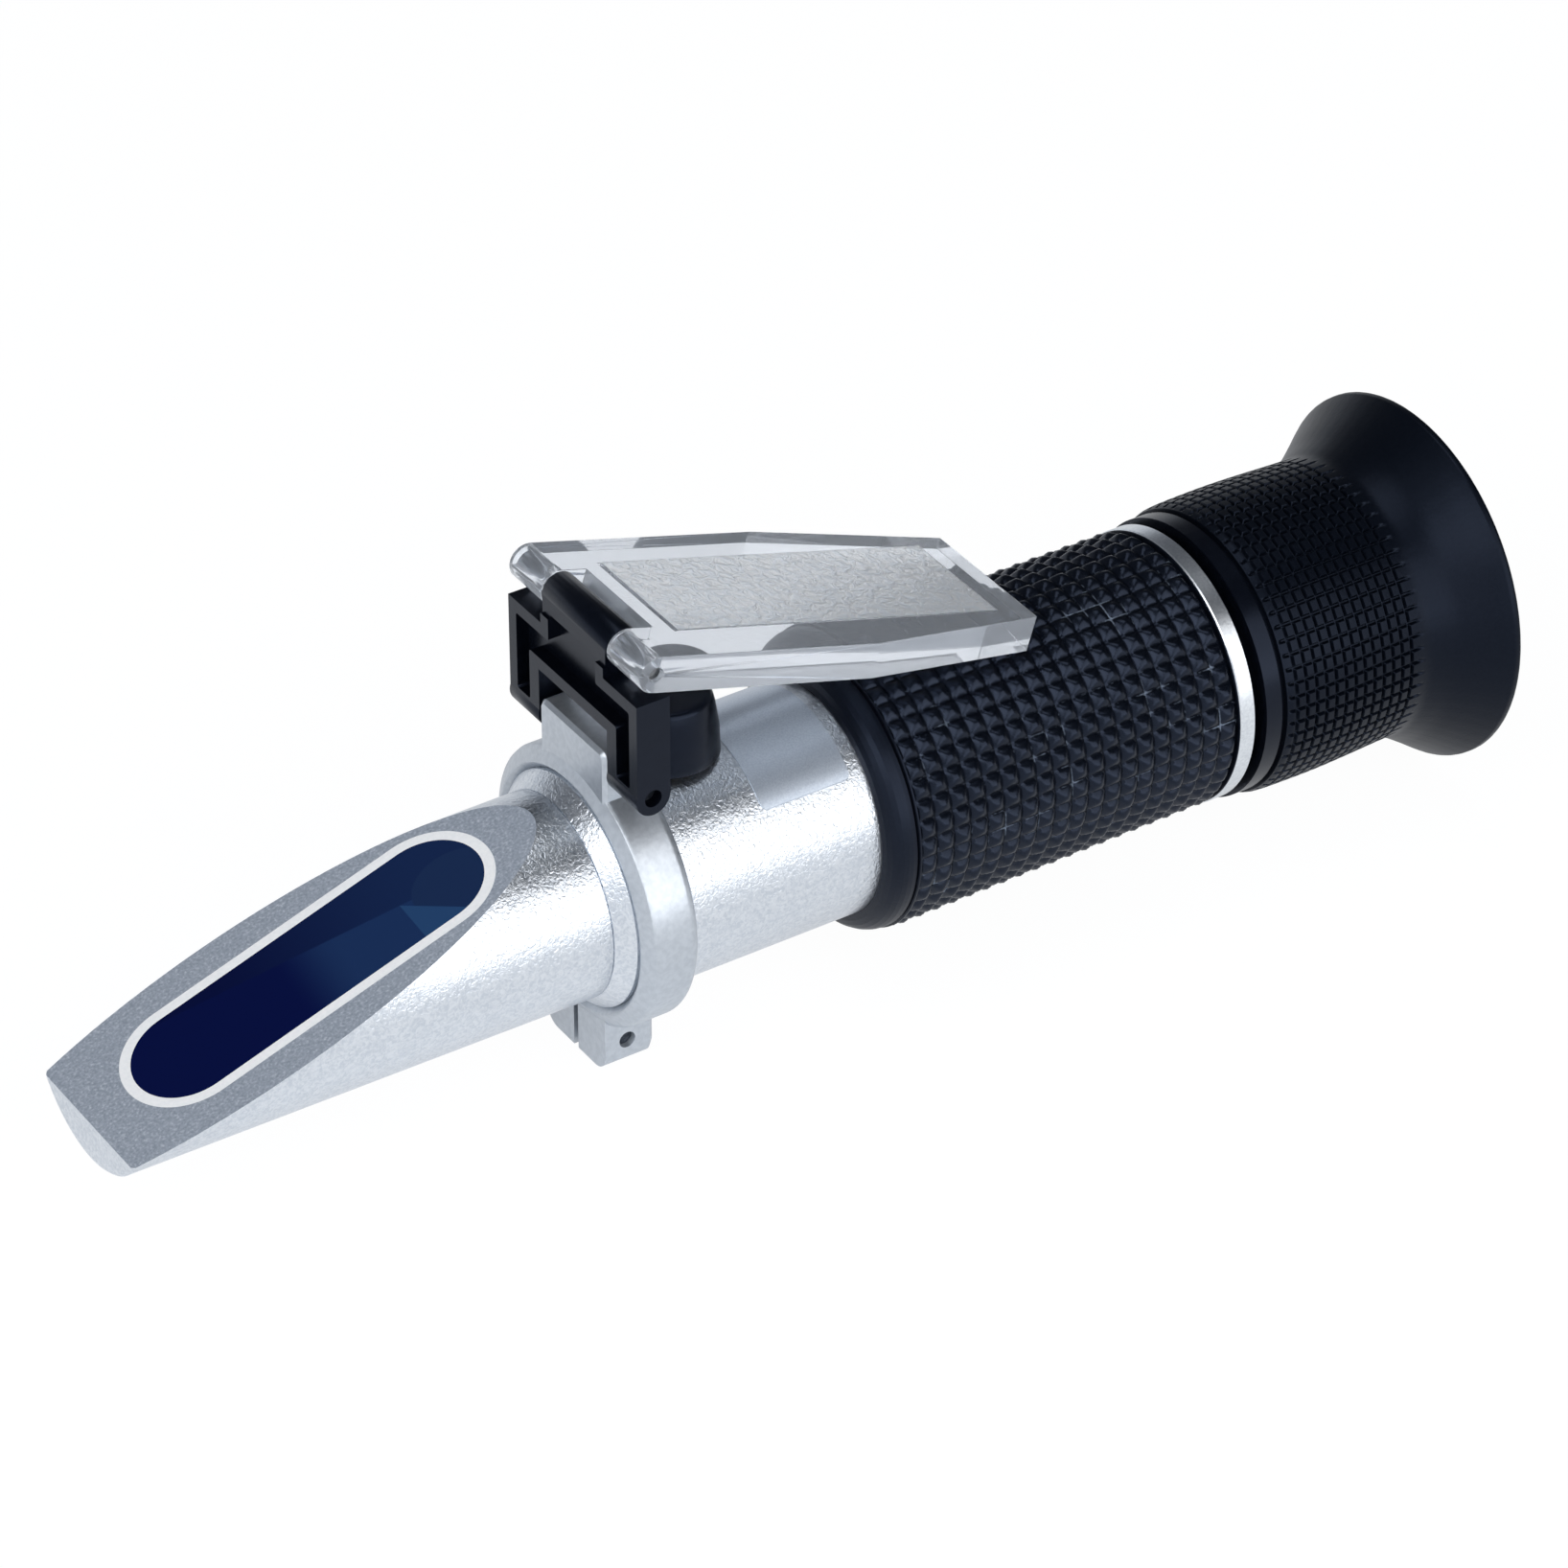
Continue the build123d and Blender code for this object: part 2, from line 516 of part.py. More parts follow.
def make_calibration_screw():
    """Slotted screw whose eccentric tip moves the lens carrier."""
    screw = upright_pin(SCREW_X, SCREW_R, (BUSH_LOW_Z, SCREW_HEAD_Z + RUNNING_FIT))
    screw += upright_pin(SCREW_X, SCREW_HEAD_R, (SCREW_HEAD_Z + RUNNING_FIT, SCREW_TOP_Z))
    screw += upright_pin(SCREW_X, ECCENTRIC_R, (ECCENTRIC_LOW_Z, BUSH_LOW_Z + 0.2), y=-ECCENTRIC_OFFSET)
    half_slot = SCREW_SLOT / 2
    slot_z = (SCREW_TOP_Z - SCREW_SLOT, SCREW_TOP_Z + 1)
    screw -= block((SCREW_X - 3, SCREW_X + 3), (-half_slot, half_slot), slot_z)
    return screw


def make_calibration_cap():
    """Rubber cap pushed over the bush, with a flat base that just clears the tube."""
    base = TUBE_R + BASE_GAP
    outline = Plane.XZ * make_face(Polyline(
        (0, base), (CAP_BASE_R, base), (CAP_WAIST_R, CAP_WAIST_Z),
        (CAP_SHOULDER_R, CAP_SHOULDER_Z), (CAP_TOP_R, CAP_TOP_Z), (0, CAP_TOP_Z), close=True))
    cap = revolve(outline, Axis.Z, 360)
    cap = fillet(cap.faces().sort_by(Axis.Z)[-1].edges(), CAP_ROUND)
    cap = Pos(SCREW_X, 0, 0) * cap
    cap -= upright_pin(SCREW_X, BUSH_R + RUNNING_FIT, (0, CAP_HOLLOW_TOP_Z))
    return cap


def make_scale_label():
    """Foil label bent over the top of the tube."""
    width = 2 * TUBE_R * sin(radians(LABEL_HALF_ANGLE))
    outline = Pos(LABEL_FRONT + LABEL_LENGTH / 2, 0, 0) * RectangleRounded(LABEL_LENGTH, width, LABEL_ROUND)
    foil = ring(LABEL_FRONT - 1, LABEL_FRONT + LABEL_LENGTH + 1, TUBE_R + LABEL_THICKNESS, TUBE_R)
    return foil & extrude(outline, TUBE_R + 1)


def make_grip_collar():
    """Smooth tapered collar in front of the grip."""
    bore = TUBE_R + PUSH_FIT
    outside = [(COLLAR_FRONT + x, r) for x, r in COLLAR_SHAPE]
    return turned([(COLLAR_FRONT, bore)] + outside + [(COLLAR_REAR, bore)])


def make_grip_sleeve():
    """Rubber grip at the crests of its knurl."""
    bore = TUBE_R + PUSH_FIT
    return turned([
        (COLLAR_REAR, bore), (COLLAR_REAR, GROOVE_R), (SLEEVE_FRONT, GROOVE_R), (SLEEVE_FRONT, SLEEVE_LIP_R),
        (KNURL_FRONT, KNURL_FRONT_R), (TUBE_END - 0.1, KNURL_REAR_R), (TUBE_END, KNURL_REAR_R - 0.1),
        (TUBE_END, bore)])


def make_trim_ring():
    """Bright ring between the grip and the neck's flange."""
    trim = ring(TUBE_END, TRIM_END, TRIM_R, NECK_SEAT_R + PUSH_FIT)
    return chamfer(trim.edges().filter_by(GeomType.CIRCLE).group_by(SortBy.RADIUS)[-1], 0.15)


def make_eyepiece_neck():
    """Neck screwed into the tube; it carries the reticle and the focus barrel."""
    spigot_r = TUBE_BORE_R - PUSH_FIT
    flange_end = TRIM_END + FLANGE_LENGTH
    neck = turned([
        (NECK_FRONT, 0), (NECK_FRONT, spigot_r), (TUBE_END, spigot_r), (TUBE_END, NECK_SEAT_R),
        (TRIM_END, NECK_SEAT_R), (TRIM_END, FLANGE_R), (flange_end, FLANGE_R), (flange_end, NECK_R),
        (NECK_END, NECK_R), (NECK_END, 0)])
    neck -= rod(NECK_FRONT - 1, RETICLE_SEAT, RETICLE_R + PUSH_FIT)
    neck -= rod(RETICLE_SEAT - 1, NECK_END, FIELD_STOP_R)
    neck -= rod(RETICLE_SEAT + FIELD_STOP_LENGTH, NECK_END + 1, NECK_BORE_R)
    neck -= upright_pin(KEY_X, KEY_R + PUSH_FIT, (0, NECK_R + 1))
    return neck


def make_reticle():
    """Glass disc that carries the scale."""
    return rod(RETICLE_SEAT - RETICLE_THICKNESS, RETICLE_SEAT, RETICLE_R)


def make_reticle_ring():
    """Ring that holds the reticle on its seat."""
    rear = RETICLE_SEAT - RETICLE_THICKNESS
    return ring(rear - RETICLE_RING_LENGTH, rear, RETICLE_R, FIELD_STOP_R)


def make_guide_pin():
    """Key in the neck that keeps the lens carriage from turning."""
    return upright_pin(KEY_X, KEY_R, (KEY_TIP, NECK_R - 0.2))


def make_focus_carriage():
    """Keyed carriage of the eyepiece lenses, carried by the barrel."""
    carriage = rod(CARRIAGE_FRONT, CARRIAGE_END, CARRIAGE_R)
    carriage += rod(FLANGE_FRONT, CARRIAGE_END, BARREL_POCKET_R - RUNNING_FIT)
    carriage -= rod(CARRIAGE_FRONT - 1, CARRIAGE_END + 1, CARRIAGE_LIP_R)
    carriage -= rod(CARRIAGE_FRONT + CARRIAGE_LIP, CARRIAGE_END + 1, CARRIAGE_BORE_R)
    slot_front = KEY_X - FOCUS_OUT - KEY_R - 0.3
    slot_rear = KEY_X + FOCUS_IN + KEY_R + 0.3
    half_slot = KEY_R + RUNNING_FIT
    carriage -= block((slot_front, slot_rear), (-half_slot, half_slot), (KEY_SLOT_BOTTOM, CARRIAGE_R + 1))
    return carriage


def lens_surface(station, radius, bulge, outward):
    """Meridian of one lens face, from its edge to the axis; a negative bulge hollows the face."""
    if bulge == 0:
        return Polyline((station, radius), (station, 0))
    edge_r = radius - LENS_RIM
    sphere_r = (edge_r ** 2 + bulge ** 2) / (2 * abs(bulge))
    half_sag = abs(bulge) - sphere_r + sqrt(sphere_r ** 2 - edge_r ** 2 / 4)
    sense = outward if bulge > 0 else -outward
    middle = (station + sense * half_sag, edge_r / 2)
    arc = ThreePointArc((station, edge_r), middle, (station + outward * bulge, 0))
    return Polyline((station, radius), (station, edge_r)) + arc


def lens(start, end, radius, front_bulge, rear_bulge):
    """Round lens with flat or spherical faces."""
    front = lens_surface(start, radius, front_bulge, -1)
    rear = lens_surface(end, radius, rear_bulge, 1)
    rim = Polyline((start, radius), (end, radius))
    axis = Polyline((start - front_bulge, 0), (end + rear_bulge, 0))
    return revolve(Plane.XZ * make_face(front + rim + rear + axis), Axis.X, 360)


def make_field_lens():
    """Front lens of the eyepiece."""
    return lens(FIELD_LENS_FRONT, SPACER_FRONT, CARRIAGE_BORE_R - PUSH_FIT, 0, LENS_BULGE)


def make_lens_spacer():
    """Tube that holds the eyepiece lenses apart."""
    return ring(SPACER_FRONT, EYE_LENS_FRONT, CARRIAGE_BORE_R - PUSH_FIT, SPACER_BORE_R)


def make_eye_lens():
    """Rear lens of the eyepiece, seen in the eyecup."""
    return lens(EYE_LENS_FRONT, EYE_RING_FRONT, CARRIAGE_BORE_R - PUSH_FIT, LENS_BULGE, LENS_BULGE)


def make_eye_lens_ring():
    """Ring screwed in behind the eye lens."""
    return ring(EYE_RING_FRONT, CARRIAGE_END, CARRIAGE_BORE_R - PUSH_FIT, EYE_RING_BORE_R)


def make_eyepiece_barrel():
    """Focus barrel that screws along the neck."""
    band_end = BAND_FRONT + BAND_LENGTH
    barrel = turned([
        (BAND_FRONT, 0), (BAND_FRONT, BAND_R), (band_end, BAND_R), (band_end, STEP_R),
        (band_end + STEP_LENGTH, STEP_R), (band_end + STEP_LENGTH, BARREL_OUTER_R),
        (BARREL_END, BARREL_OUTER_R), (BARREL_END, 0)])
    barrel -= rod(BAND_FRONT - 1, BARREL_LIP_FRONT, BARREL_BORE_R)
    barrel -= rod(BARREL_LIP_FRONT - 1, BARREL_END, BARREL_LIP_R)
    barrel -= rod(POCKET_FRONT, BARREL_END + 1, BARREL_POCKET_R)
    return barrel


def make_carriage_ring():
    """Ring screwed into the barrel behind the carriage's flange."""
    start = CARRIAGE_END + RUNNING_FIT
    return ring(start, start + CARRIAGE_RING_LENGTH, BARREL_POCKET_R - PUSH_FIT, CARRIAGE_RING_BORE_R)


def make_eyecup():
    """Rubber sleeve and flared cup on the focus barrel."""
    bore = BARREL_OUTER_R + PUSH_FIT
    throat_end = BARREL_END + THROAT_LENGTH
    sleeve = [(CUP_FRONT + x, r) for x, r in CUP_SLEEVE_SHAPE]
    flare = [(CUP_FRONT + x, r) for x, r in CUP_FLARE_SHAPE]
    bowl = [(CUP_FRONT + x, r) for x, r in CUP_BOWL_SHAPE]
    outer = Spline(*sleeve) + Spline(*flare)
    rim = Polyline(flare[-1], (LENGTH - 0.25, RIM_R), (LENGTH, RIM_R - 0.35), (LENGTH, RIM_INNER_R), bowl[0])
    throat = Polyline(
        bowl[-1], (throat_end, THROAT_R), (BARREL_END, THROAT_R), (BARREL_END, bore), (CUP_FRONT, bore),
        sleeve[0])
    return revolve(Plane.XZ * make_face(outer + rim + Spline(*bowl) + throat), Axis.X, 360)


def make_lens_carrier():
    """Sliding carrier of the objective, with the slot for the eccentric tip."""
    carrier = ring(CARRIER_FRONT, CARRIER_END, CARRIER_R, CARRIER_BORE_R)
    carrier -= rod(CARRIER_SEAT, CARRIER_END + 1, CARRIER_SEAT_R)
    half_slot = ECCENTRIC_R + RUNNING_FIT
    slot_x = (SCREW_X - half_slot, SCREW_X + half_slot)
    carrier -= block(slot_x, (-CARRIER_SLOT_HALF_LENGTH, CARRIER_SLOT_HALF_LENGTH), (0, CARRIER_R + 1))
    return carrier


def make_objective_crown():
    """Front element of the objective."""
    return lens(CARRIER_SEAT, CARRIER_SEAT + CROWN_THICKNESS, CARRIER_SEAT_R - PUSH_FIT, LENS_BULGE, 0)


def make_objective_flint():
    """Rear element of the objective, cemented to the front one."""
    start = CARRIER_SEAT + CROWN_THICKNESS
    return lens(start, start + FLINT_THICKNESS, CARRIER_SEAT_R - PUSH_FIT, 0, -0.4)


def make_objective_ring():
    """Ring screwed in behind the objective."""
    start = CARRIER_SEAT + CROWN_THICKNESS + FLINT_THICKNESS
    return ring(start, start + OBJECTIVE_RING_LENGTH, CARRIER_SEAT_R - PUSH_FIT, CARRIER_BORE_R)


def make_light_baffle():
    """Light stop in the middle of the tube."""
    return ring(BAFFLE_FRONT, BAFFLE_FRONT + BAFFLE_LENGTH, TUBE_BORE_R - PUSH_FIT, BAFFLE_BORE_R)


PIECES = {
    "prism_head": make_prism_head,
    "main_prism": make_main_prism,
    "prism_seal": make_prism_seal,
    "head_seal": make_head_seal,
    "main_tube": make_main_tube,
    "clamp_ring": make_clamp_ring,
    "clamp_screw": make_clamp_screw,
    "bracket_pin": make_bracket_pin,
    "hinge_bracket": make_hinge_bracket,
    "plate_hinge_pin": make_plate_hinge_pin,
    "daylight_plate": make_daylight_plate,
    "screw_bush": make_screw_bush,
    "calibration_screw": make_calibration_screw,
    "calibration_cap": make_calibration_cap,
    "scale_label": make_scale_label,
    "grip_collar": make_grip_collar,
    "grip_sleeve": make_grip_sleeve,
    "trim_ring": make_trim_ring,
    "eyepiece_neck": make_eyepiece_neck,
    "reticle": make_reticle,
    "reticle_ring": make_reticle_ring,
    "guide_pin": make_guide_pin,
    "focus_carriage": make_focus_carriage,
    "field_lens": make_field_lens,
    "lens_spacer": make_lens_spacer,
    "eye_lens": make_eye_lens,
    "eye_lens_ring": make_eye_lens_ring,
    "eyepiece_barrel": make_eyepiece_barrel,
    "carriage_ring": make_carriage_ring,
    "eyecup": make_eyecup,
    "lens_carrier": make_lens_carrier,
    "objective_crown": make_objective_crown,
    "objective_flint": make_objective_flint,
    "objective_ring": make_objective_ring,
    "light_baffle": make_light_baffle,
}

os.makedirs("parts", exist_ok=True)
for node, make in PIECES.items():
    placed = Pos(-LENGTH / 2, 0, RIM_R) * make()
    export_step(placed, f"parts/{node}.step")
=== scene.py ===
import json
import math

import bmesh
import bpy
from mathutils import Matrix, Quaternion, Vector


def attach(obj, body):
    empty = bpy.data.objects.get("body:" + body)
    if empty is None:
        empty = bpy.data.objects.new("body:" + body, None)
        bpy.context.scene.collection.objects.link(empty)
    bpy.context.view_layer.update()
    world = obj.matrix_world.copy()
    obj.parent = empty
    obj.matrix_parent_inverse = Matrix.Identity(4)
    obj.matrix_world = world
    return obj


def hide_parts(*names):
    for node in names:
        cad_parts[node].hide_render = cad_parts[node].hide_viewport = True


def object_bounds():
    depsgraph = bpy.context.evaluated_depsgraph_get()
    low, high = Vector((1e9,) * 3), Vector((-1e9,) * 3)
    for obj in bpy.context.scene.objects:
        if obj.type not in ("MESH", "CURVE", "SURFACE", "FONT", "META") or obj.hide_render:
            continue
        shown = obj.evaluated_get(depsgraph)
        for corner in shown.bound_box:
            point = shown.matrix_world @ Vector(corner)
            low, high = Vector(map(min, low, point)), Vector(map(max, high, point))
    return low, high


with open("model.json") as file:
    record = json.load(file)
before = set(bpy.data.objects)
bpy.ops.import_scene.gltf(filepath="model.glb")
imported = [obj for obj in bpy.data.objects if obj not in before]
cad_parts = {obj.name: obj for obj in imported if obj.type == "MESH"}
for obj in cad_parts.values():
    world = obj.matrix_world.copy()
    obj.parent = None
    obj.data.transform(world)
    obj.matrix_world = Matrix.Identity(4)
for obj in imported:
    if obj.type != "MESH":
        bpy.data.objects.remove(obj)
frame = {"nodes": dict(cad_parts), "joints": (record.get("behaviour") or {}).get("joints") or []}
nodes = frame["nodes"]
cad_low, cad_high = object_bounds()

# ---------------------------------------------------------------------------------------------
# Studio: a pale table top, a wide soft light on the near side, another over the left shoulder, a
# dim one overhead, and a room that is bright low down and dark above. Table and backdrop are
# white to the eye and to glass, and the table keeps a faint shadow.
# ---------------------------------------------------------------------------------------------

TABLE_SIZE = 3.0
TABLE_GLOW = 1.03
TABLE_WHITE_SHARE = 0.94     # the rest of the table takes the part's shadow
TABLE_IN_METAL = 0.6         # how much of that white metal shows
ROOM_STRENGTH = 0.9
ROOM_LOW = (0.88, 0.92, 0.97, 1)
ROOM_WALL = (0.84, 0.89, 0.96, 1)
ROOM_UPPER = (0.13, 0.14, 0.16, 1)
ROOM_TOP = (0.045, 0.05, 0.06, 1)
WHITE = (1, 1, 1, 1)


def new_material(name, values=()):
    """A node material, its tree, and its shader with the inputs that are the same all over."""
    material = bpy.data.materials.new(name)
    material.use_nodes = True
    tree = material.node_tree
    shader = tree.nodes["Principled BSDF"]
    for socket, value in dict(values).items():
        shader.inputs[socket].default_value = value
    return material, tree, shader


def node(tree, kind, inputs=(), **values):
    """A shader node with its properties set and its inputs linked or given."""
    made = tree.nodes.new(kind)
    for key, value in values.items():
        setattr(made, key, value)
    for socket, value in dict(inputs).items():
        if isinstance(value, bpy.types.NodeSocket):
            tree.links.new(value, made.inputs[socket])
        else:
            made.inputs[socket].default_value = value
    return made


table_mesh = bpy.data.meshes.new("table_top")
build = bmesh.new()
bmesh.ops.create_grid(build, x_segments=2, y_segments=2, size=TABLE_SIZE)
build.to_mesh(table_mesh)
build.free()
table_top = bpy.data.objects.new("table_top", table_mesh)
bpy.context.scene.collection.objects.link(table_top)
table_white, tree, shader = new_material("table_white", {
    "Base Color": (0.80, 0.85, 0.91, 1), "Roughness": 0.9, "Specular IOR Level": 0.1})
rays = node(tree, "ShaderNodeLightPath").outputs
seen = node(tree, "ShaderNodeMath", {
    0: rays["Is Camera Ray"], 1: rays["Is Transmission Ray"]}, operation="MAXIMUM")
mirrored = node(tree, "ShaderNodeMath", {
    0: rays["Is Glossy Ray"], 1: TABLE_IN_METAL, 2: seen.outputs[0]}, operation="MULTIPLY_ADD")
share = node(tree, "ShaderNodeMath", {
    0: mirrored.outputs[0], 1: TABLE_WHITE_SHARE}, operation="MULTIPLY")
glow = node(tree, "ShaderNodeEmission", {"Color": WHITE, "Strength": TABLE_GLOW})
mix = node(tree, "ShaderNodeMixShader", {
    0: share.outputs[0], 1: shader.outputs[0], 2: glow.outputs[0]})
tree.links.new(mix.outputs[0], tree.nodes["Material Output"].inputs[0])
table_top.data.materials.append(table_white)

world = bpy.data.worlds.new("dark_room")
bpy.context.scene.world = world
world.use_nodes = True
tree = world.node_tree
room = tree.nodes["Background"]
sky = node(tree, "ShaderNodeTexCoord")
sky_split = node(tree, "ShaderNodeSeparateXYZ", {0: sky.outputs["Generated"]})
wall = node(tree, "ShaderNodeValToRGB", {"Fac": sky_split.outputs["Z"]})
for place, colour in ((0.10, ROOM_WALL), (0.34, ROOM_UPPER)):
    stop = wall.color_ramp.elements.new(place)
    stop.color = colour
wall.color_ramp.elements[0].color = ROOM_LOW
wall.color_ramp.elements[-1].color = ROOM_TOP

# The room is darker towards the eyepiece's end.
far_end = node(tree, "ShaderNodeMapRange", {
    "Value": sky_split.outputs["X"], "From Min": 0.45, "From Max": 0.80, "To Min": 1.0, "To Max": 0.22})
shaded = node(tree, "ShaderNodeVectorMath", {
    0: wall.outputs["Color"], "Scale": far_end.outputs["Result"]}, operation="SCALE")
tree.links.new(shaded.outputs["Vector"], room.inputs["Color"])
room.inputs["Strength"].default_value = ROOM_STRENGTH

# The eye sees a white backdrop, also through clear parts, but not by way of a reflection.
backdrop = node(tree, "ShaderNodeBackground", {"Color": WHITE})
rays = node(tree, "ShaderNodeLightPath").outputs
no_mirror = node(tree, "ShaderNodeMath", {0: rays["Glossy Depth"], 1: 0.5}, operation="LESS_THAN")
straight = node(tree, "ShaderNodeMath", {
    0: rays["Is Transmission Ray"], 1: no_mirror.outputs[0]}, operation="MULTIPLY")
seen = node(tree, "ShaderNodeMath", {
    0: rays["Is Camera Ray"], 1: straight.outputs[0]}, operation="MAXIMUM")
room_or_backdrop = node(tree, "ShaderNodeMixShader", {
    0: seen.outputs[0], 1: room.outputs[0], 2: backdrop.outputs[0]})
tree.links.new(room_or_backdrop.outputs[0], tree.nodes["World Output"].inputs[0])


def soft_light(name, place, aim, size, power, tint):
    """A rectangular studio light aimed at a point."""
    lamp = bpy.data.lights.new(name, "AREA")
    lamp.shape = "RECTANGLE"
    lamp.size, lamp.size_y = size
    lamp.energy = power
    lamp.color = tint
    holder = bpy.data.objects.new(name, lamp)
    holder.location = place
    holder.rotation_euler = (Vector(aim) - Vector(place)).to_track_quat("-Z", "Y").to_euler()
    bpy.context.scene.collection.objects.link(holder)


soft_light("near_softbox", place=(0.12, -0.95, 0.42), aim=(0, 0, 0.02),
           size=(1.35, 1.0), power=8.0, tint=(1, 1, 1))
soft_light("left_softbox", place=(-0.75, -0.35, 0.65), aim=(-0.02, 0, 0.02),
           size=(0.9, 0.7), power=5.5, tint=(0.97, 0.985, 1))
soft_light("overhead_softbox", place=(0.06, 0.04, 1.15), aim=(0, 0, 0.02),
           size=(0.7, 0.7), power=2.5, tint=(0.95, 0.975, 1))

camera_data = bpy.data.cameras.new("camera")
camera_data.sensor_width = 36.0
camera_data.lens = 148.39
camera_data.clip_start = 0.01
camera = bpy.data.objects.new("camera", camera_data)
camera.location = (-0.28911, -0.43992, 0.39608)
camera.rotation_mode = "QUATERNION"
camera.rotation_quaternion = Quaternion((0.851346, 0.439734, -0.132605, -0.253494))
bpy.context.scene.collection.objects.link(camera)
bpy.context.scene.camera = camera
bpy.context.scene.view_settings.view_transform = "Standard"

# ---------------------------------------------------------------------------------------------
# Prism head and main tube: cast and turned aluminium, bead blasted to a fine silver grain.
# The head's slanted face is ground to a duller grey round the window.
# ---------------------------------------------------------------------------------------------

SILVER_LOW = (0.64, 0.68, 0.735, 1)
SILVER_HIGH = (0.78, 0.81, 0.85, 1)
SILVER_STOPS = (0.36, 0.62)
SILVER_ROUGHNESS = 0.30
BLAST_GRAIN_MM = 0.42
BLAST_DEPTH_MM = 0.072
BLAST_WANDER = 0.8
FACE_LEAN = math.radians(18.6)
FACE_NORMAL = (-math.sin(FACE_LEAN), 0, math.cos(FACE_LEAN))
FACE_MATCH = 0.996           # how closely a surface must face the way the ground face does
FACE_ROUGHNESS = 0.55
FACE_METAL_SHARE = 0.35
FACE_GRAIN_DEPTH = 0.35      # beside the blasted grain's depth
SPECK_SCALE = 3600


def grain(tree, shader, size, depth, detail=2.0, wander=0.0):
    """Fine surface grain: size and depth are in mm, wander bends the grains into short worms."""
    coords = node(tree, "ShaderNodeTexCoord")
    noise = node(tree, "ShaderNodeTexNoise", {
        "Vector": coords.outputs["Object"], "Scale": 1000 / size, "Detail": detail, "Distortion": wander})
    bump = node(tree, "ShaderNodeBump", {
        "Height": noise.outputs["Fac"], "Strength": 1.0, "Distance": depth / 1000})
    tree.links.new(bump.outputs["Normal"], shader.inputs["Normal"])
    return coords, noise, bump


def ramp(tree, source, stops):
    """A colour ramp fed from a value."""
    band = node(tree, "ShaderNodeValToRGB", {"Fac": source})
    while len(band.color_ramp.elements) < len(stops):
        band.color_ramp.elements.new(0.5)
    for element, (place, colour) in zip(band.color_ramp.elements, stops):
        element.position = place
        element.color = colour
    return band.outputs["Color"]


def grained(name, values, size, depth, low, high, detail=2.0, wander=0.0, stops=(0.3, 0.7)):
    """A material whose fine grain shows in its surface and, between two tones, in its colour."""
    material, tree, shader = new_material(name, values)
    coords, noise, bump = grain(tree, shader, size, depth, detail, wander)
    tone = ramp(tree, noise.outputs["Fac"], list(zip(stops, (low, high))))
    tree.links.new(tone, shader.inputs["Base Color"])
    return material


def between(tree, mask, low, high):
    """A number that goes from low to high with a mask."""
    scale = node(tree, "ShaderNodeMapRange", {"Value": mask, "To Min": low, "To Max": high})
    return scale.outputs["Result"]


def layer(tree, under, over, mask):
    """Lays one colour over another where the mask is 1."""
    laid = node(tree, "ShaderNodeMix", {"A": under, "B": over, "Factor": mask}, data_type="RGBA")
    return laid.outputs["Result"]


def wear(node_name, material):
    """Gives a carried-over node its material."""
    mesh = nodes[node_name].data
    mesh.materials.clear()
    mesh.materials.append(material)


wear("main_tube", grained(
    "blasted_metal", {"Metallic": 1.0, "Roughness": SILVER_ROUGHNESS},
    size=BLAST_GRAIN_MM, depth=BLAST_DEPTH_MM, low=SILVER_LOW, high=SILVER_HIGH,
    wander=BLAST_WANDER, stops=SILVER_STOPS))

# The head is the same metal. Its ground face is duller and takes the light like grey paint.
head_metal, tree, shader = new_material("head_metal")
coords, noise, bump = grain(tree, shader, BLAST_GRAIN_MM, BLAST_DEPTH_MM, wander=BLAST_WANDER)
silver = ramp(tree, noise.outputs["Fac"], list(zip(SILVER_STOPS, (SILVER_LOW, SILVER_HIGH))))
specks = node(tree, "ShaderNodeTexNoise", {
    "Vector": coords.outputs["Object"], "Scale": SPECK_SCALE, "Detail": 3.0})
grey = ramp(tree, specks.outputs["Fac"], [
    (0.30, (0.31, 0.35, 0.415, 1)), (0.55, (0.41, 0.455, 0.53, 1)), (0.75, (0.62, 0.66, 0.72, 1))])
facing = node(tree, "ShaderNodeVectorMath", {
    0: coords.outputs["Normal"], 1: FACE_NORMAL}, operation="DOT_PRODUCT")
on_face = node(tree, "ShaderNodeMath", {
    0: facing.outputs["Value"], 1: FACE_MATCH}, operation="GREATER_THAN").outputs[0]
tree.links.new(layer(tree, silver, grey, on_face), shader.inputs["Base Color"])
tree.links.new(between(tree, on_face, SILVER_ROUGHNESS, FACE_ROUGHNESS), shader.inputs["Roughness"])
tree.links.new(between(tree, on_face, 1.0, FACE_METAL_SHARE), shader.inputs["Metallic"])
finer = node(tree, "ShaderNodeMath", {0: specks.outputs["Fac"], 1: FACE_GRAIN_DEPTH}, operation="MULTIPLY")
height = node(tree, "ShaderNodeMix", {
    "A": noise.outputs["Fac"], "B": finer.outputs[0], "Factor": on_face}, data_type="FLOAT")
tree.links.new(height.outputs["Result"], bump.inputs["Height"])
wear("prism_head", head_metal)

# ---------------------------------------------------------------------------------------------
# Main prism and its seal: a polished blue-tinted glass prism under a stadium window, bedded in a
# pale band of sealing compound that is flush with the face.
# ---------------------------------------------------------------------------------------------

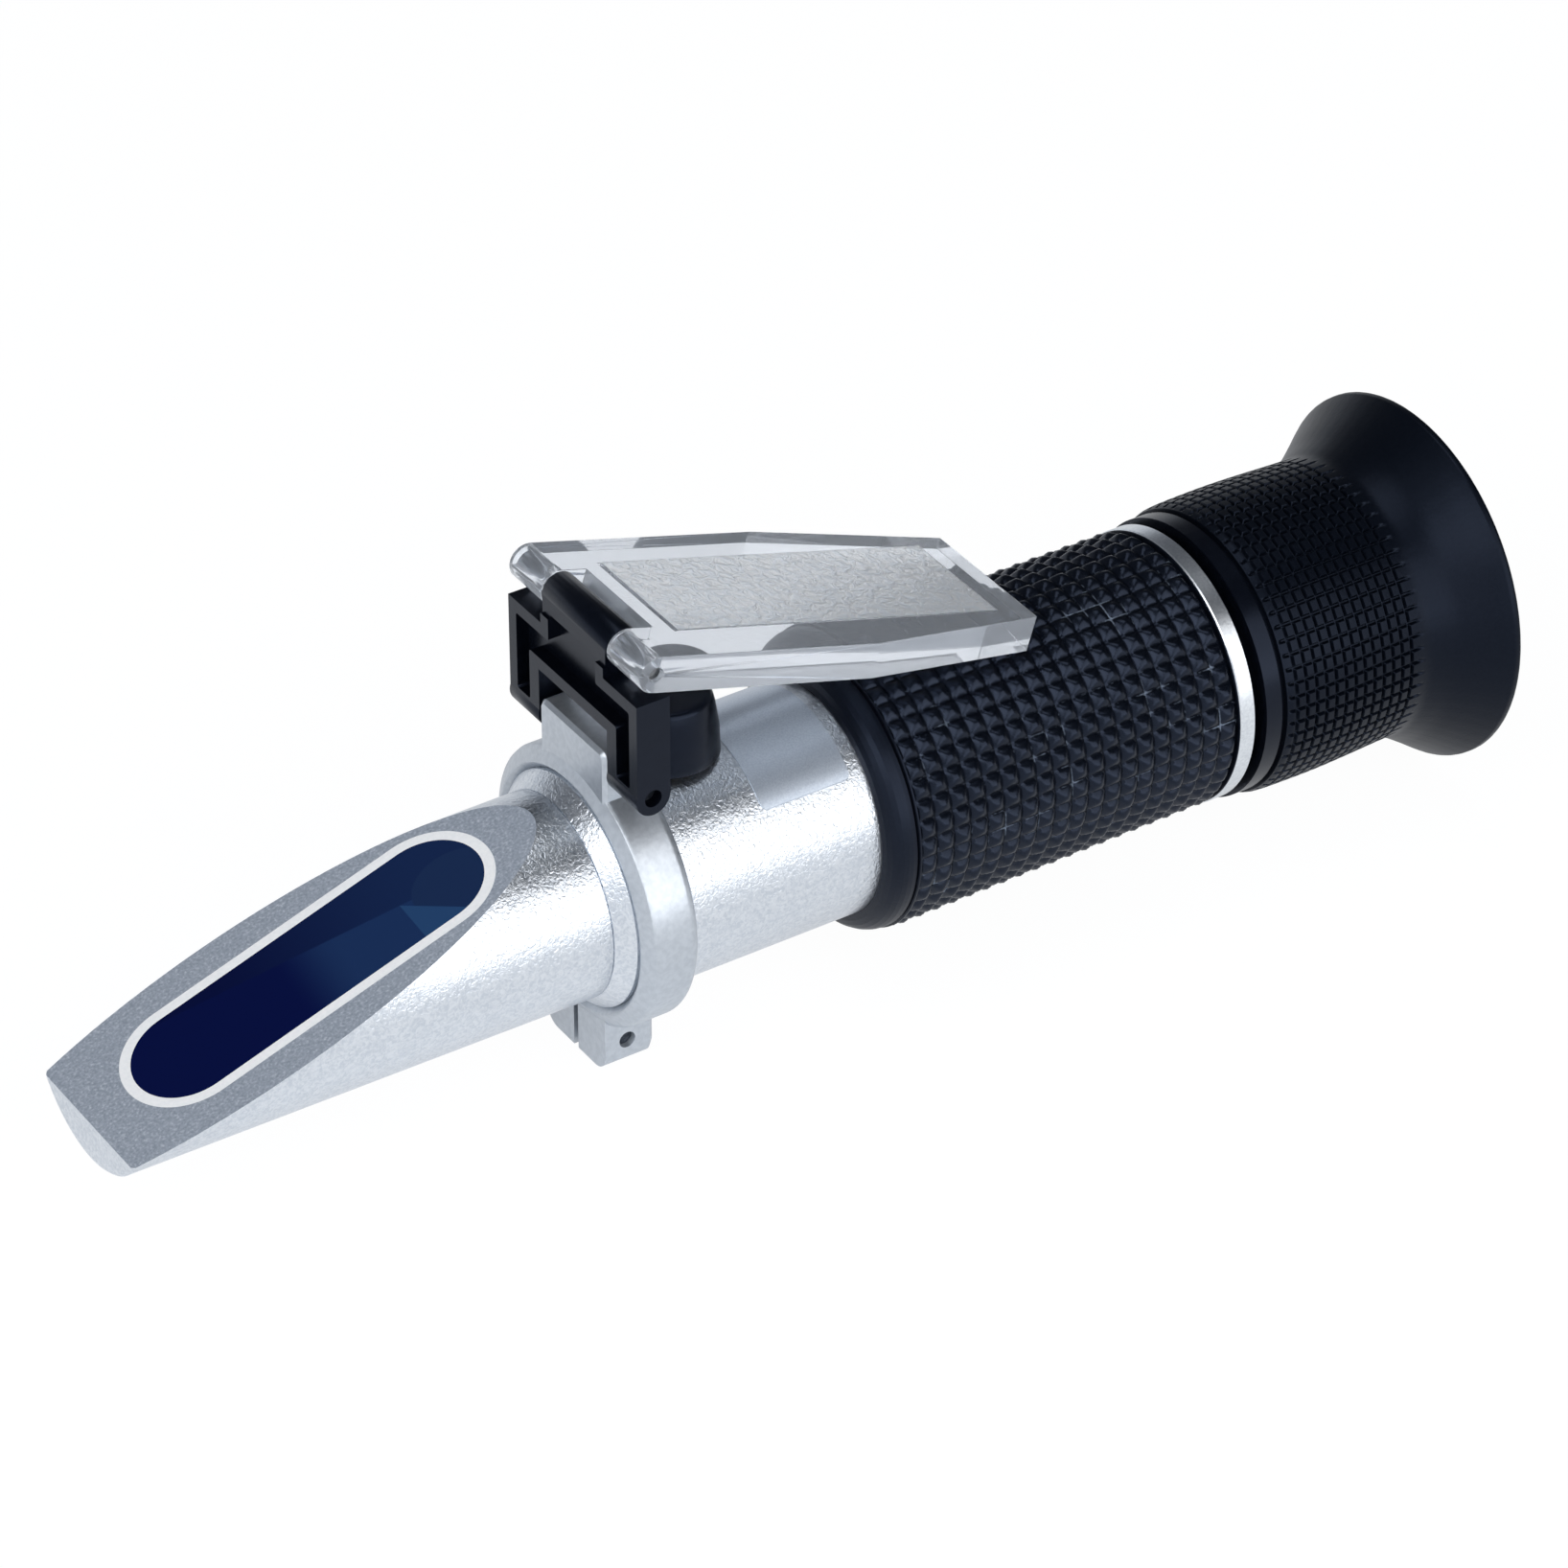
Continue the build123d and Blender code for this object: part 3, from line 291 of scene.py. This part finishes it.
HALF_LENGTH_MM = round(cad_high[0] * 1000, 3)
FACET_CORNER = (34.66, -0.23)        # (distance from the tip, width towards the far side) in mm
FACET_FAR_END = (38.58, -5.10)
FACET_NEAR_END = (34.38, -4.88)
RIDGE_END = (12.78, 4.97)
ARC_CENTRE = (40.0, -2.2)
ARC_RADIUS_MM = 4.45
ARC_BLUR_MM = 0.1
UPPER_SHADE_FADE = ((27, 3), (26, -3))     # the lines that the flanks' painted shade fades across
LOWER_SHADE_FADE = ((25.5, 5), (24.5, -5))
# Painted shade and painted light: darker and lighter blues for the prism's faces seen through the window.
UPPER_PAINTED_SHADE_BLUES = ((0.0002, 0.0028, 0.040, 1), (0.0060, 0.0190, 0.074, 1))
LOWER_PAINTED_SHADE_BLUES = ((0.0002, 0.0034, 0.050, 1), (0.0090, 0.0290, 0.100, 1))
ARC_PAINTED_LIGHT_BLUE = (0.0088, 0.0245, 0.080, 1)
FACET_PAINTED_LIGHT_BLUE = (0.0170, 0.0560, 0.150, 1)

prism_glass, tree, shader = new_material("prism_glass", {"Roughness": 0.05, "Specular IOR Level": 0.3})
coords = node(tree, "ShaderNodeTexCoord")
split = node(tree, "ShaderNodeSeparateXYZ", {0: coords.outputs["Object"]})


def side_of_line(first, second, blur):
    """Goes from 0 to 1 across the line through two (station, width) points, in mm, to its left."""
    run, rise = second[0] - first[0], second[1] - first[1]
    length = math.hypot(run, rise)
    offset = rise / length * (first[0] - HALF_LENGTH_MM) - run / length * first[1]
    along_x = node(tree, "ShaderNodeMath", {
        0: split.outputs["X"], 1: -rise / length * 1000, 2: offset}, operation="MULTIPLY_ADD")
    along_y = node(tree, "ShaderNodeMath", {
        0: split.outputs["Y"], 1: run / length * 1000, 2: along_x.outputs[0]}, operation="MULTIPLY_ADD")
    edge = node(tree, "ShaderNodeMapRange", {
        "Value": along_y.outputs[0], "From Min": -blur, "From Max": blur}, interpolation_type="SMOOTHSTEP")
    return edge.outputs["Result"]


def both(tree, first, second):
    """Where two masks meet."""
    return node(tree, "ShaderNodeMath", {0: first, 1: second}, operation="MULTIPLY").outputs[0]


# Painted light and shade: the prism seen through the glass is painted in lighter and darker blues, its
# ridge running down the window and its end facets meeting it.
upper_flank_shade = layer(tree, *UPPER_PAINTED_SHADE_BLUES, side_of_line(*UPPER_SHADE_FADE, blur=12))
lower_flank_shade = layer(tree, *LOWER_PAINTED_SHADE_BLUES, side_of_line(*LOWER_SHADE_FADE, blur=3.2))
flanks_painted_shade = layer(tree, lower_flank_shade, upper_flank_shade, side_of_line(RIDGE_END, FACET_CORNER, blur=0.12))
below_facet = side_of_line(FACET_FAR_END, FACET_CORNER, blur=0.06)
past_facet = side_of_line(FACET_CORNER, FACET_NEAR_END, blur=0.06)

# The rear facet's painted light ends in an arc, from the seat's round end behind it.
flat_place = node(tree, "ShaderNodeCombineXYZ", {"X": split.outputs["X"], "Y": split.outputs["Y"]})
to_arc = node(tree, "ShaderNodeVectorMath", {
    0: flat_place.outputs[0],
    1: ((ARC_CENTRE[0] - HALF_LENGTH_MM) / 1000, ARC_CENTRE[1] / 1000, 0)}, operation="DISTANCE")
in_arc = node(tree, "ShaderNodeMapRange", {
    "Value": to_arc.outputs["Value"], "From Min": (ARC_RADIUS_MM + ARC_BLUR_MM) / 1000,
    "From Max": (ARC_RADIUS_MM - ARC_BLUR_MM) / 1000})
above_facet = node(tree, "ShaderNodeMath", {0: 1.0, 1: below_facet}, operation="SUBTRACT")
window = layer(tree, flanks_painted_shade, ARC_PAINTED_LIGHT_BLUE, both(tree, in_arc.outputs["Result"], above_facet.outputs[0]))
window = layer(tree, window, FACET_PAINTED_LIGHT_BLUE, both(tree, below_facet, past_facet))
# The glass's colour carries the painted light and shade of the prism's faces.
tree.links.new(window, shader.inputs["Base Color"])
wear("main_prism", prism_glass)

wear("prism_seal", grained(
    "seal_compound", {"Roughness": 0.45}, size=0.4, depth=0.02,
    low=(0.90, 0.91, 0.92, 1), high=(0.97, 0.97, 0.97, 1)))

# ---------------------------------------------------------------------------------------------
# Clamp ring, its screw and the pins: the clamp is a satin silver casting that grips the tube, and
# the screw draws its lugs together from below. The eyepiece's neck, its carriage and the inner
# rings are turned and black anodised.
# ---------------------------------------------------------------------------------------------

BLACK_SHEEN = (0.54, 0.67, 1.0, 1)
EDGE_WELD = 0.000002


def soften_edges(node_name, width, angle=32, segments=2):
    """Small rounded edges on a carried-over node."""
    piece = nodes[node_name]
    weld = piece.modifiers.new("join", "WELD")
    weld.merge_threshold = EDGE_WELD
    round_over = piece.modifiers.new("round", "BEVEL")
    round_over.width = width
    round_over.segments = segments
    round_over.limit_method = "ANGLE"
    round_over.angle_limit = math.radians(angle)
    round_over.harden_normals = True


def black_finish(name, roughness, shine, size, depth, low, high, detail=2.0):
    """A black that shines slightly blue."""
    values = {"Roughness": roughness, "Specular IOR Level": shine, "Specular Tint": BLACK_SHEEN}
    return grained(name, values, size, depth, low, high, detail)


def metal_finish(name, roughness, size, depth, low, high):
    """A bare metal."""
    return grained(name, {"Metallic": 1.0, "Roughness": roughness}, size, depth, low, high)


wear("clamp_ring", grained(
    "satin_metal", {"Metallic": 0.80, "Roughness": 0.35}, size=0.6, depth=0.016,
    low=(0.51, 0.545, 0.59, 1), high=(0.575, 0.61, 0.655, 1), stops=(0.35, 0.65)))
soften_edges("clamp_ring", 0.00012)

black_anodised = black_finish(
    "black_anodised", roughness=0.36, shine=0.3, size=0.35, depth=0.01,
    low=(0.0025, 0.0032, 0.0055, 1), high=(0.0050, 0.0062, 0.0095, 1))
for inner in ("eyepiece_neck", "reticle_ring", "lens_spacer", "eye_lens_ring", "objective_ring",
              "focus_carriage", "carriage_ring"):
    wear(inner, black_anodised)

ground_steel = metal_finish(
    "ground_steel", roughness=0.16, size=0.5, depth=0.006,
    low=(0.15, 0.155, 0.165, 1), high=(0.24, 0.245, 0.255, 1))
for steel_piece in ("plate_hinge_pin", "calibration_screw", "guide_pin"):
    wear(steel_piece, ground_steel)

blued_steel = metal_finish(
    "blued_steel", roughness=0.38, size=0.3, depth=0.01,
    low=(0.030, 0.036, 0.046, 1), high=(0.075, 0.085, 0.10, 1))
for blued_piece in ("clamp_screw", "bracket_pin"):
    wear(blued_piece, blued_steel)

# ---------------------------------------------------------------------------------------------
# Hinge bracket: one black gloss moulding with two legs, a recessed front and the hinge barrel.
# The focus barrel and the light stop in the tube are moulded from the same black.
# ---------------------------------------------------------------------------------------------

black_moulding = black_finish(
    "black_moulding", roughness=0.27, shine=0.29, size=1.1, depth=0.008,
    low=(0.0012, 0.0017, 0.0036, 1), high=(0.0022, 0.0030, 0.0056, 1))
wear("hinge_bracket", black_moulding)
soften_edges("hinge_bracket", 0.00015)
wear("eyepiece_barrel", black_moulding)
wear("light_baffle", black_moulding)

# ---------------------------------------------------------------------------------------------
# Daylight plate: one clear acrylic moulding. Its pad has a fine hammered frosting.
# ---------------------------------------------------------------------------------------------

PLATE_LEAN = math.radians(16.96)
PLATE_NORMAL = (math.sin(PLATE_LEAN), 0, math.cos(PLATE_LEAN))
PAD_FACE = 0.00199           # height over the plate's plane where the raised pad begins
HAMMER_SCALE = 900
HAMMER_DEPTH = 0.0004
CLEAR_TINT = (0.82, 0.86, 0.92, 1)
CLEAR_ROUGHNESS, PAD_ROUGHNESS = 0.02, 0.30
CLEAR_PASSES, PAD_PASSES = 0.90, 0.58


def joint_place(name):
    """Where a joint turns, in metres."""
    return next(joint["pos_m"] for joint in frame["joints"] if joint["name"] == name)


clear_acrylic, tree, shader = new_material("clear_acrylic", {
    "IOR": 1.49, "Sheen Weight": 0.12, "Sheen Roughness": 0.5, "Sheen Tint": (0.90, 0.95, 1.0, 1)})
coords = node(tree, "ShaderNodeTexCoord")
from_hinge = node(tree, "ShaderNodeVectorMath", {
    0: coords.outputs["Object"], 1: joint_place("plate_hinge")}, operation="SUBTRACT")
above = node(tree, "ShaderNodeVectorMath", {
    0: from_hinge.outputs["Vector"], 1: PLATE_NORMAL}, operation="DOT_PRODUCT")
on_pad = node(tree, "ShaderNodeMath", {
    0: above.outputs["Value"], 1: PAD_FACE}, operation="GREATER_THAN").outputs[0]
hammered = node(tree, "ShaderNodeTexNoise", {
    "Vector": coords.outputs["Object"], "Scale": HAMMER_SCALE, "Detail": 2.0, "Distortion": 1.2})
dents = both(tree, hammered.outputs["Fac"], on_pad)
bump = node(tree, "ShaderNodeBump", {"Height": dents, "Distance": HAMMER_DEPTH})
tree.links.new(bump.outputs["Normal"], shader.inputs["Normal"])
frosting = ramp(tree, hammered.outputs["Fac"], [
    (0.38, (0.89, 0.94, 1.0, 1)), (0.60, (0.97, 0.985, 1.0, 1))])
tree.links.new(layer(tree, CLEAR_TINT, frosting, on_pad), shader.inputs["Base Color"])
tree.links.new(between(tree, on_pad, CLEAR_ROUGHNESS, PAD_ROUGHNESS), shader.inputs["Roughness"])
tree.links.new(between(tree, on_pad, CLEAR_PASSES, PAD_PASSES), shader.inputs["Transmission Weight"])
wear("daylight_plate", clear_acrylic)
soften_edges("daylight_plate", 0.00022)

# ---------------------------------------------------------------------------------------------
# Calibration gear: a brass bush in the tube wall carries a slotted screw that moves the brass lens
# carrier, under a rubber cap. The tube's seal and the grip's front collar are the same rubber.
# ---------------------------------------------------------------------------------------------

turned_brass = metal_finish(
    "turned_brass", roughness=0.3, size=0.6, depth=0.006,
    low=(0.62, 0.46, 0.20, 1), high=(0.74, 0.58, 0.30, 1))
wear("screw_bush", turned_brass)
wear("lens_carrier", turned_brass)
wear("calibration_cap", black_moulding)
soften_edges("calibration_cap", 0.0003, angle=40, segments=3)

RUBBER_GRAIN = {"size": 0.38, "depth": 0.012, "detail": 3.0}
RUBBER_LOW = (0.0014, 0.0021, 0.0044, 1)
RUBBER_HIGH = (0.0028, 0.0038, 0.0068, 1)

black_rubber = black_finish(
    "black_rubber", roughness=0.38, shine=0.30, low=RUBBER_LOW, high=RUBBER_HIGH, **RUBBER_GRAIN)
wear("head_seal", black_rubber)
wear("grip_collar", black_rubber)

# ---------------------------------------------------------------------------------------------
# Scale label: thin metallic foil, bare, bent over the top of the tube.
# ---------------------------------------------------------------------------------------------

wear("scale_label", grained(
    "bare_foil", {"Metallic": 0.8, "Roughness": 0.34}, size=0.18, depth=0.006,
    low=(0.53, 0.59, 0.68, 1), high=(0.65, 0.71, 0.79, 1)))

# ---------------------------------------------------------------------------------------------
# Grip: a rubber sleeve moulded with rows of small sharp pyramids, between a smooth lip in front
# and a bright turned ring behind. A little light dust has settled in its grooves.
# ---------------------------------------------------------------------------------------------

AXIS_HEIGHT = joint_place("focus_turn")[2]
KNURL_ROWS = 19
KNURL_ROUND = 43
KNURL_START = 85.9
KNURL_PITCH = 2.05
KNURL_DEPTH = 0.56
GROOVE_CUT = 0.2             # how much deeper the grooves are, beside the pyramids' depth
KNURL_CREST = 15.15
KNURL_TAPER = 0.21           # how much smaller the crests' radius is at the last row
KNURL_END = KNURL_START + KNURL_PITCH * KNURL_ROWS
GROOVE_FLOOR = KNURL_CREST - KNURL_DEPTH * (1 + GROOVE_CUT)
KNURL_TURN = math.radians(41.2)
KNURL_FINE = 8               # steps across one pyramid
PYRAMID_SQUARENESS = 7
PYRAMID_TIP = 0.22           # how rounded the tips are
PYRAMID_TOP = 1.03
END_STEPS = KNURL_ROUND * 4
FRONT_LIP = [                # (distance from the tip, radius) in mm
    (85.36, 12.44), (85.36, 14.3), (85.55, 14.3), (85.56, 14.85), (85.62, 14.95), (85.78, 14.95),
    (KNURL_START, GROOVE_FLOOR)]
REAR_LIP = [
    (KNURL_END, GROOVE_FLOOR - KNURL_TAPER), (124.9, 14.75), (125.0, 14.8), (125.0, 12.44)]
DUST_SCALE = 150
DUST_COLOUR = (0.170, 0.205, 0.260, 1)
BLACK = (0, 0, 0, 1)


def at(station, radius, angle):
    """A point by its distance from the tip and its radius, in mm, and its angle from the top."""
    return Vector((
        (station - HALF_LENGTH_MM) * 0.001,
        -radius * math.sin(angle) * 0.001,
        AXIS_HEIGHT + radius * math.cos(angle) * 0.001))


def join_rows(build, rows):
    """Joins each ring of vertices to the next by quads."""
    steps = len(rows[0])
    for first, second in zip(rows, rows[1:]):
        for k in range(steps):
            build.faces.new((first[k], first[(k + 1) % steps], second[(k + 1) % steps], second[k]))


def lathe_rows(build, profile, steps, turn):
    """A turned band through (station, radius) points."""
    join_rows(build, [
        [build.verts.new(at(station, radius, turn + 2 * math.pi * k / steps)) for k in range(steps)]
        for station, radius in profile])


def finish_piece(name, build, material, body, replaced=(), sharp=35):
    """Makes the object, marks its sharp edges, gives it its material and its body."""
    mesh = bpy.data.meshes.new(name)
    bmesh.ops.recalc_face_normals(build, faces=build.faces)
    for edge in build.edges:
        edge.smooth = len(edge.link_faces) == 2 and edge.calc_face_angle() < math.radians(sharp)
    for face in build.faces:
        face.smooth = True
    build.to_mesh(mesh)
    build.free()
    piece = bpy.data.objects.new(name, mesh)
    bpy.context.scene.collection.objects.link(piece)
    mesh.materials.append(material)
    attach(piece, body)
    if replaced:
        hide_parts(*replaced)
    return piece


def pyramid(across, along):
    """Height of a soft-edged pyramid, for places from -1 to 1 on its base."""
    power = PYRAMID_SQUARENESS
    ridge = (abs(across) ** power + abs(along) ** power) ** (1 / power)
    return max(0.0, PYRAMID_TOP - math.hypot(min(ridge, 1.0), PYRAMID_TIP))


def knurl_height(row_place, turn_place):
    """Height share of the knurled surface, 0 in its grooves and 1 at its tips."""
    floor = pyramid(1.0, 1.0)
    height = pyramid(2 * (row_place % 1.0) - 1, 2 * (turn_place % 1.0) - 1)
    return (height - floor) / (pyramid(0, 0) - floor)


grip = bmesh.new()
dust = grip.verts.layers.float_color.new("dust")
rows = []
for line in range(KNURL_ROWS * KNURL_FINE + 1):
    row_place = line / KNURL_FINE
    station = KNURL_START + row_place * KNURL_PITCH
    crest = KNURL_CREST - KNURL_TAPER * row_place / KNURL_ROWS
    row = []
    for k in range(KNURL_ROUND * KNURL_FINE):
        turn_place = k / KNURL_FINE
        groove = line % KNURL_FINE == 0 or k % KNURL_FINE == 0
        height = -GROOVE_CUT if groove else knurl_height(row_place, turn_place)
        vert = grip.verts.new(at(station, crest - KNURL_DEPTH * (1 - height),
                                 KNURL_TURN + 2 * math.pi * turn_place / KNURL_ROUND))
        vert[dust] = WHITE if groove else BLACK
        row.append(vert)
    rows.append(row)
join_rows(grip, rows)

knurl_rubber, tree, shader = new_material("knurl_rubber", {
    "Roughness": 0.27, "Specular IOR Level": 0.36, "Specular Tint": BLACK_SHEEN})
coords, noise, bump = grain(tree, shader, **RUBBER_GRAIN)
rubber = ramp(tree, noise.outputs["Fac"], [(0.3, RUBBER_LOW), (0.7, RUBBER_HIGH)])
in_groove = node(tree, "ShaderNodeVertexColor", layer_name="dust")
line_mask = ramp(tree, in_groove.outputs["Color"], [(0.60, BLACK), (0.84, WHITE)])
patches = node(tree, "ShaderNodeTexNoise", {
    "Vector": coords.outputs["Object"], "Scale": DUST_SCALE, "Detail": 5.0, "Roughness": 0.7})
patch_mask = ramp(tree, patches.outputs["Fac"], [(0.56, BLACK), (0.66, WHITE)])
dusty = layer(tree, rubber, DUST_COLOUR, both(tree, line_mask, patch_mask))
tree.links.new(dusty, shader.inputs["Base Color"])
knurl_grip = finish_piece("knurl_grip", grip, knurl_rubber, "body", sharp=44)

ends = bmesh.new()
lathe_rows(ends, FRONT_LIP, END_STEPS, KNURL_TURN)
lathe_rows(ends, REAR_LIP, END_STEPS, KNURL_TURN)
grip_ends = finish_piece("grip_ends", ends, black_rubber, "body", ("grip_sleeve",))

wear("trim_ring", metal_finish(
    "turned_ring", roughness=0.3, size=0.3, depth=0.01,
    low=(0.70, 0.73, 0.77, 1), high=(0.84, 0.87, 0.90, 1)))

# ---------------------------------------------------------------------------------------------
# Lenses and scale disc: clear polished glass discs inside the tube and the eyepiece.
# ---------------------------------------------------------------------------------------------

lens_glass, tree, shader = new_material("lens_glass", {
    "Base Color": (0.82, 0.88, 0.92, 1), "Transmission Weight": 0.9, "Roughness": 0.02, "IOR": 1.52,
    "Coat Weight": 0.3})
grain(tree, shader, size=3.0, depth=0.0005)
for glass_piece in ("reticle", "field_lens", "eye_lens", "objective_crown", "objective_flint"):
    wear(glass_piece, lens_glass)

# ---------------------------------------------------------------------------------------------
# Eyecup: a soft rubber sleeve with rows of small square pads for the fingers, flared into a cup
# for the eye. It is pushed over the focus barrel.
# ---------------------------------------------------------------------------------------------

CUP_OUTSIDE = [              # (distance from the tip, radius) in mm
    (130.5, 15.45), (131.2, 15.68), (134.5, 15.8), (138.5, 15.82), (142.5, 15.7), (147.7, 15.5),
    (148.9, 15.55), (150.1, 15.95), (151.5, 16.6), (152.9, 17.5), (154.5, 18.6), (155.9, 19.62),
    (156.4, 19.96), (156.6, 20.02), (157.0, 20.03)]
CUP_INSIDE = [
    (157.13, 19.97), (157.22, 19.8), (157.25, 19.5), (157.22, 19.2), (157.1, 19.06), (156.8, 18.93),
    (155.9, 18.2), (154.8, 17.1), (153.7, 15.8), (152.9, 14.2), (152.5, 12.8), (152.3, 11.4),
    (152.15, 11.05), (151.9, 11.0), (149.0, 11.0), (149.0, 14.42), (130.5, 14.42)]
FRONT_STATIONS = [130.5, 130.55, 130.65, 130.8, 131.0, 131.2]
RIM_STATIONS = [156.4, 156.5, 156.6, 156.8, 157.0]
BARE_START = 0.7             # the fine steps behind the last row of pads, in mm
BARE_STEP = 0.25
BARE_ROWS = 10
FLARE_END = 156.2
FLARE_STEP = 0.5
PADS_ROUND = 64
PAD_TURN = math.radians(12.4)
PAD_RADIUS = 15.7
PAD_ROW_START = 131.62
PAD_ROW_PITCH = 1.236
PAD_ROWS = 13
PADS_END = PAD_ROW_START + PAD_ROW_PITCH * (PAD_ROWS - 1)
PAD_MIDDLE = PAD_ROW_PITCH / 2 + 0.1
FADE_IN_START = 130.6        # the grooves run out in front of this station and behind the last row
FADE_IN_LENGTH = 0.5
FADE_OUT_LENGTH = 1.7
GROOVE_DEPTH = 0.42
GROOVE_FLAT = 0.05           # half the width of the groove's flat bottom, in mm
GROOVE_WALL = 0.21
GROOVE_STEPS = (0.0, 0.08, 0.17, 0.25, 0.32)    # places across half a groove, in mm


def smooth_step(value):
    """Eases from 0 to 1."""
    value = min(1.0, max(0.0, value))
    return value * value * (3 - 2 * value)


def cup_radius(station):
    """Outside radius of the sleeve and flare, in mm, on a smooth curve through the points."""
    shape = CUP_OUTSIDE
    last = len(shape) - 1
    k = next((k for k in range(last) if station <= shape[k + 1][0]), None)
    if k is None:
        return shape[last][1]
    (x0, r0), (x1, r1) = shape[k], shape[k + 1]
    before = shape[max(0, k - 1)]
    after = shape[min(last, k + 2)]
    span = x1 - x0
    place = (station - x0) / span
    slope0 = (r1 - before[1]) / (x1 - before[0])
    slope1 = (after[1] - r0) / (after[0] - x0)
    t2, t3 = place ** 2, place ** 3
    return (r0 * (2 * t3 - 3 * t2 + 1) + r1 * (3 * t2 - 2 * t3)
            + span * (slope0 * (t3 - 2 * t2 + place) + slope1 * (t3 - t2)))


def groove_cut(distance):
    """Depth share of a groove at a distance from its middle, in mm."""
    return 1.0 - smooth_step((abs(distance) - GROOVE_FLAT) / GROOVE_WALL)


def pads_share(station):
    """How far the grooves are cut at a station: they run out at both ends of the pads."""
    fade_in = smooth_step((station - FADE_IN_START) / FADE_IN_LENGTH)
    return smooth_step(PADS_END + FADE_OUT_LENGTH - station) * fade_in


stations = list(FRONT_STATIONS)
for pad_row in range(PAD_ROWS):
    mark = PAD_ROW_START + PAD_ROW_PITCH * pad_row
    stations += [mark - step for step in reversed(GROOVE_STEPS[1:-1])]
    stations += [mark + step for step in GROOVE_STEPS]
    if pad_row + 1 < PAD_ROWS:
        stations.append(mark + PAD_MIDDLE)
stations += [PADS_END + BARE_START + BARE_STEP * k for k in range(BARE_ROWS)]
while stations[-1] < FLARE_END:
    stations.append(stations[-1] + FLARE_STEP)
stations += RIM_STATIONS

pad_width = 2 * math.pi * PAD_RADIUS / PADS_ROUND
offsets = list(GROOVE_STEPS) + [pad_width - step for step in reversed(GROOVE_STEPS[1:])]
angles = [PAD_TURN + 2 * math.pi * (pad + offset / pad_width) / PADS_ROUND
          for pad in range(PADS_ROUND) for offset in offsets]
cup = bmesh.new()
rows = []
for station in stations:
    radius = cup_radius(station)
    pad_row = min(PAD_ROWS - 1, max(0, round((station - PAD_ROW_START) / PAD_ROW_PITCH)))
    ring_cut = groove_cut(station - PAD_ROW_START - PAD_ROW_PITCH * pad_row)
    depth = pads_share(station) * GROOVE_DEPTH
    row = []
    for k, angle in enumerate(angles):
        offset = offsets[k % len(offsets)]
        cut = max(groove_cut(min(offset, pad_width - offset)), ring_cut) * depth
        row.append(cup.verts.new(at(station, radius - cut, angle)))
    rows.append(row)
for station, radius in CUP_INSIDE:
    rows.append([cup.verts.new(at(station, radius, angle)) for angle in angles])
join_rows(cup, rows + rows[:1])

cup_rubber = black_finish(
    "cup_rubber", roughness=0.36, shine=0.21,
    low=(0.0010, 0.0017, 0.0038, 1), high=(0.0020, 0.0030, 0.0056, 1), **RUBBER_GRAIN)
soft_cup = finish_piece("soft_cup", cup, cup_rubber, "eyepiece", ("eyecup",), sharp=50)
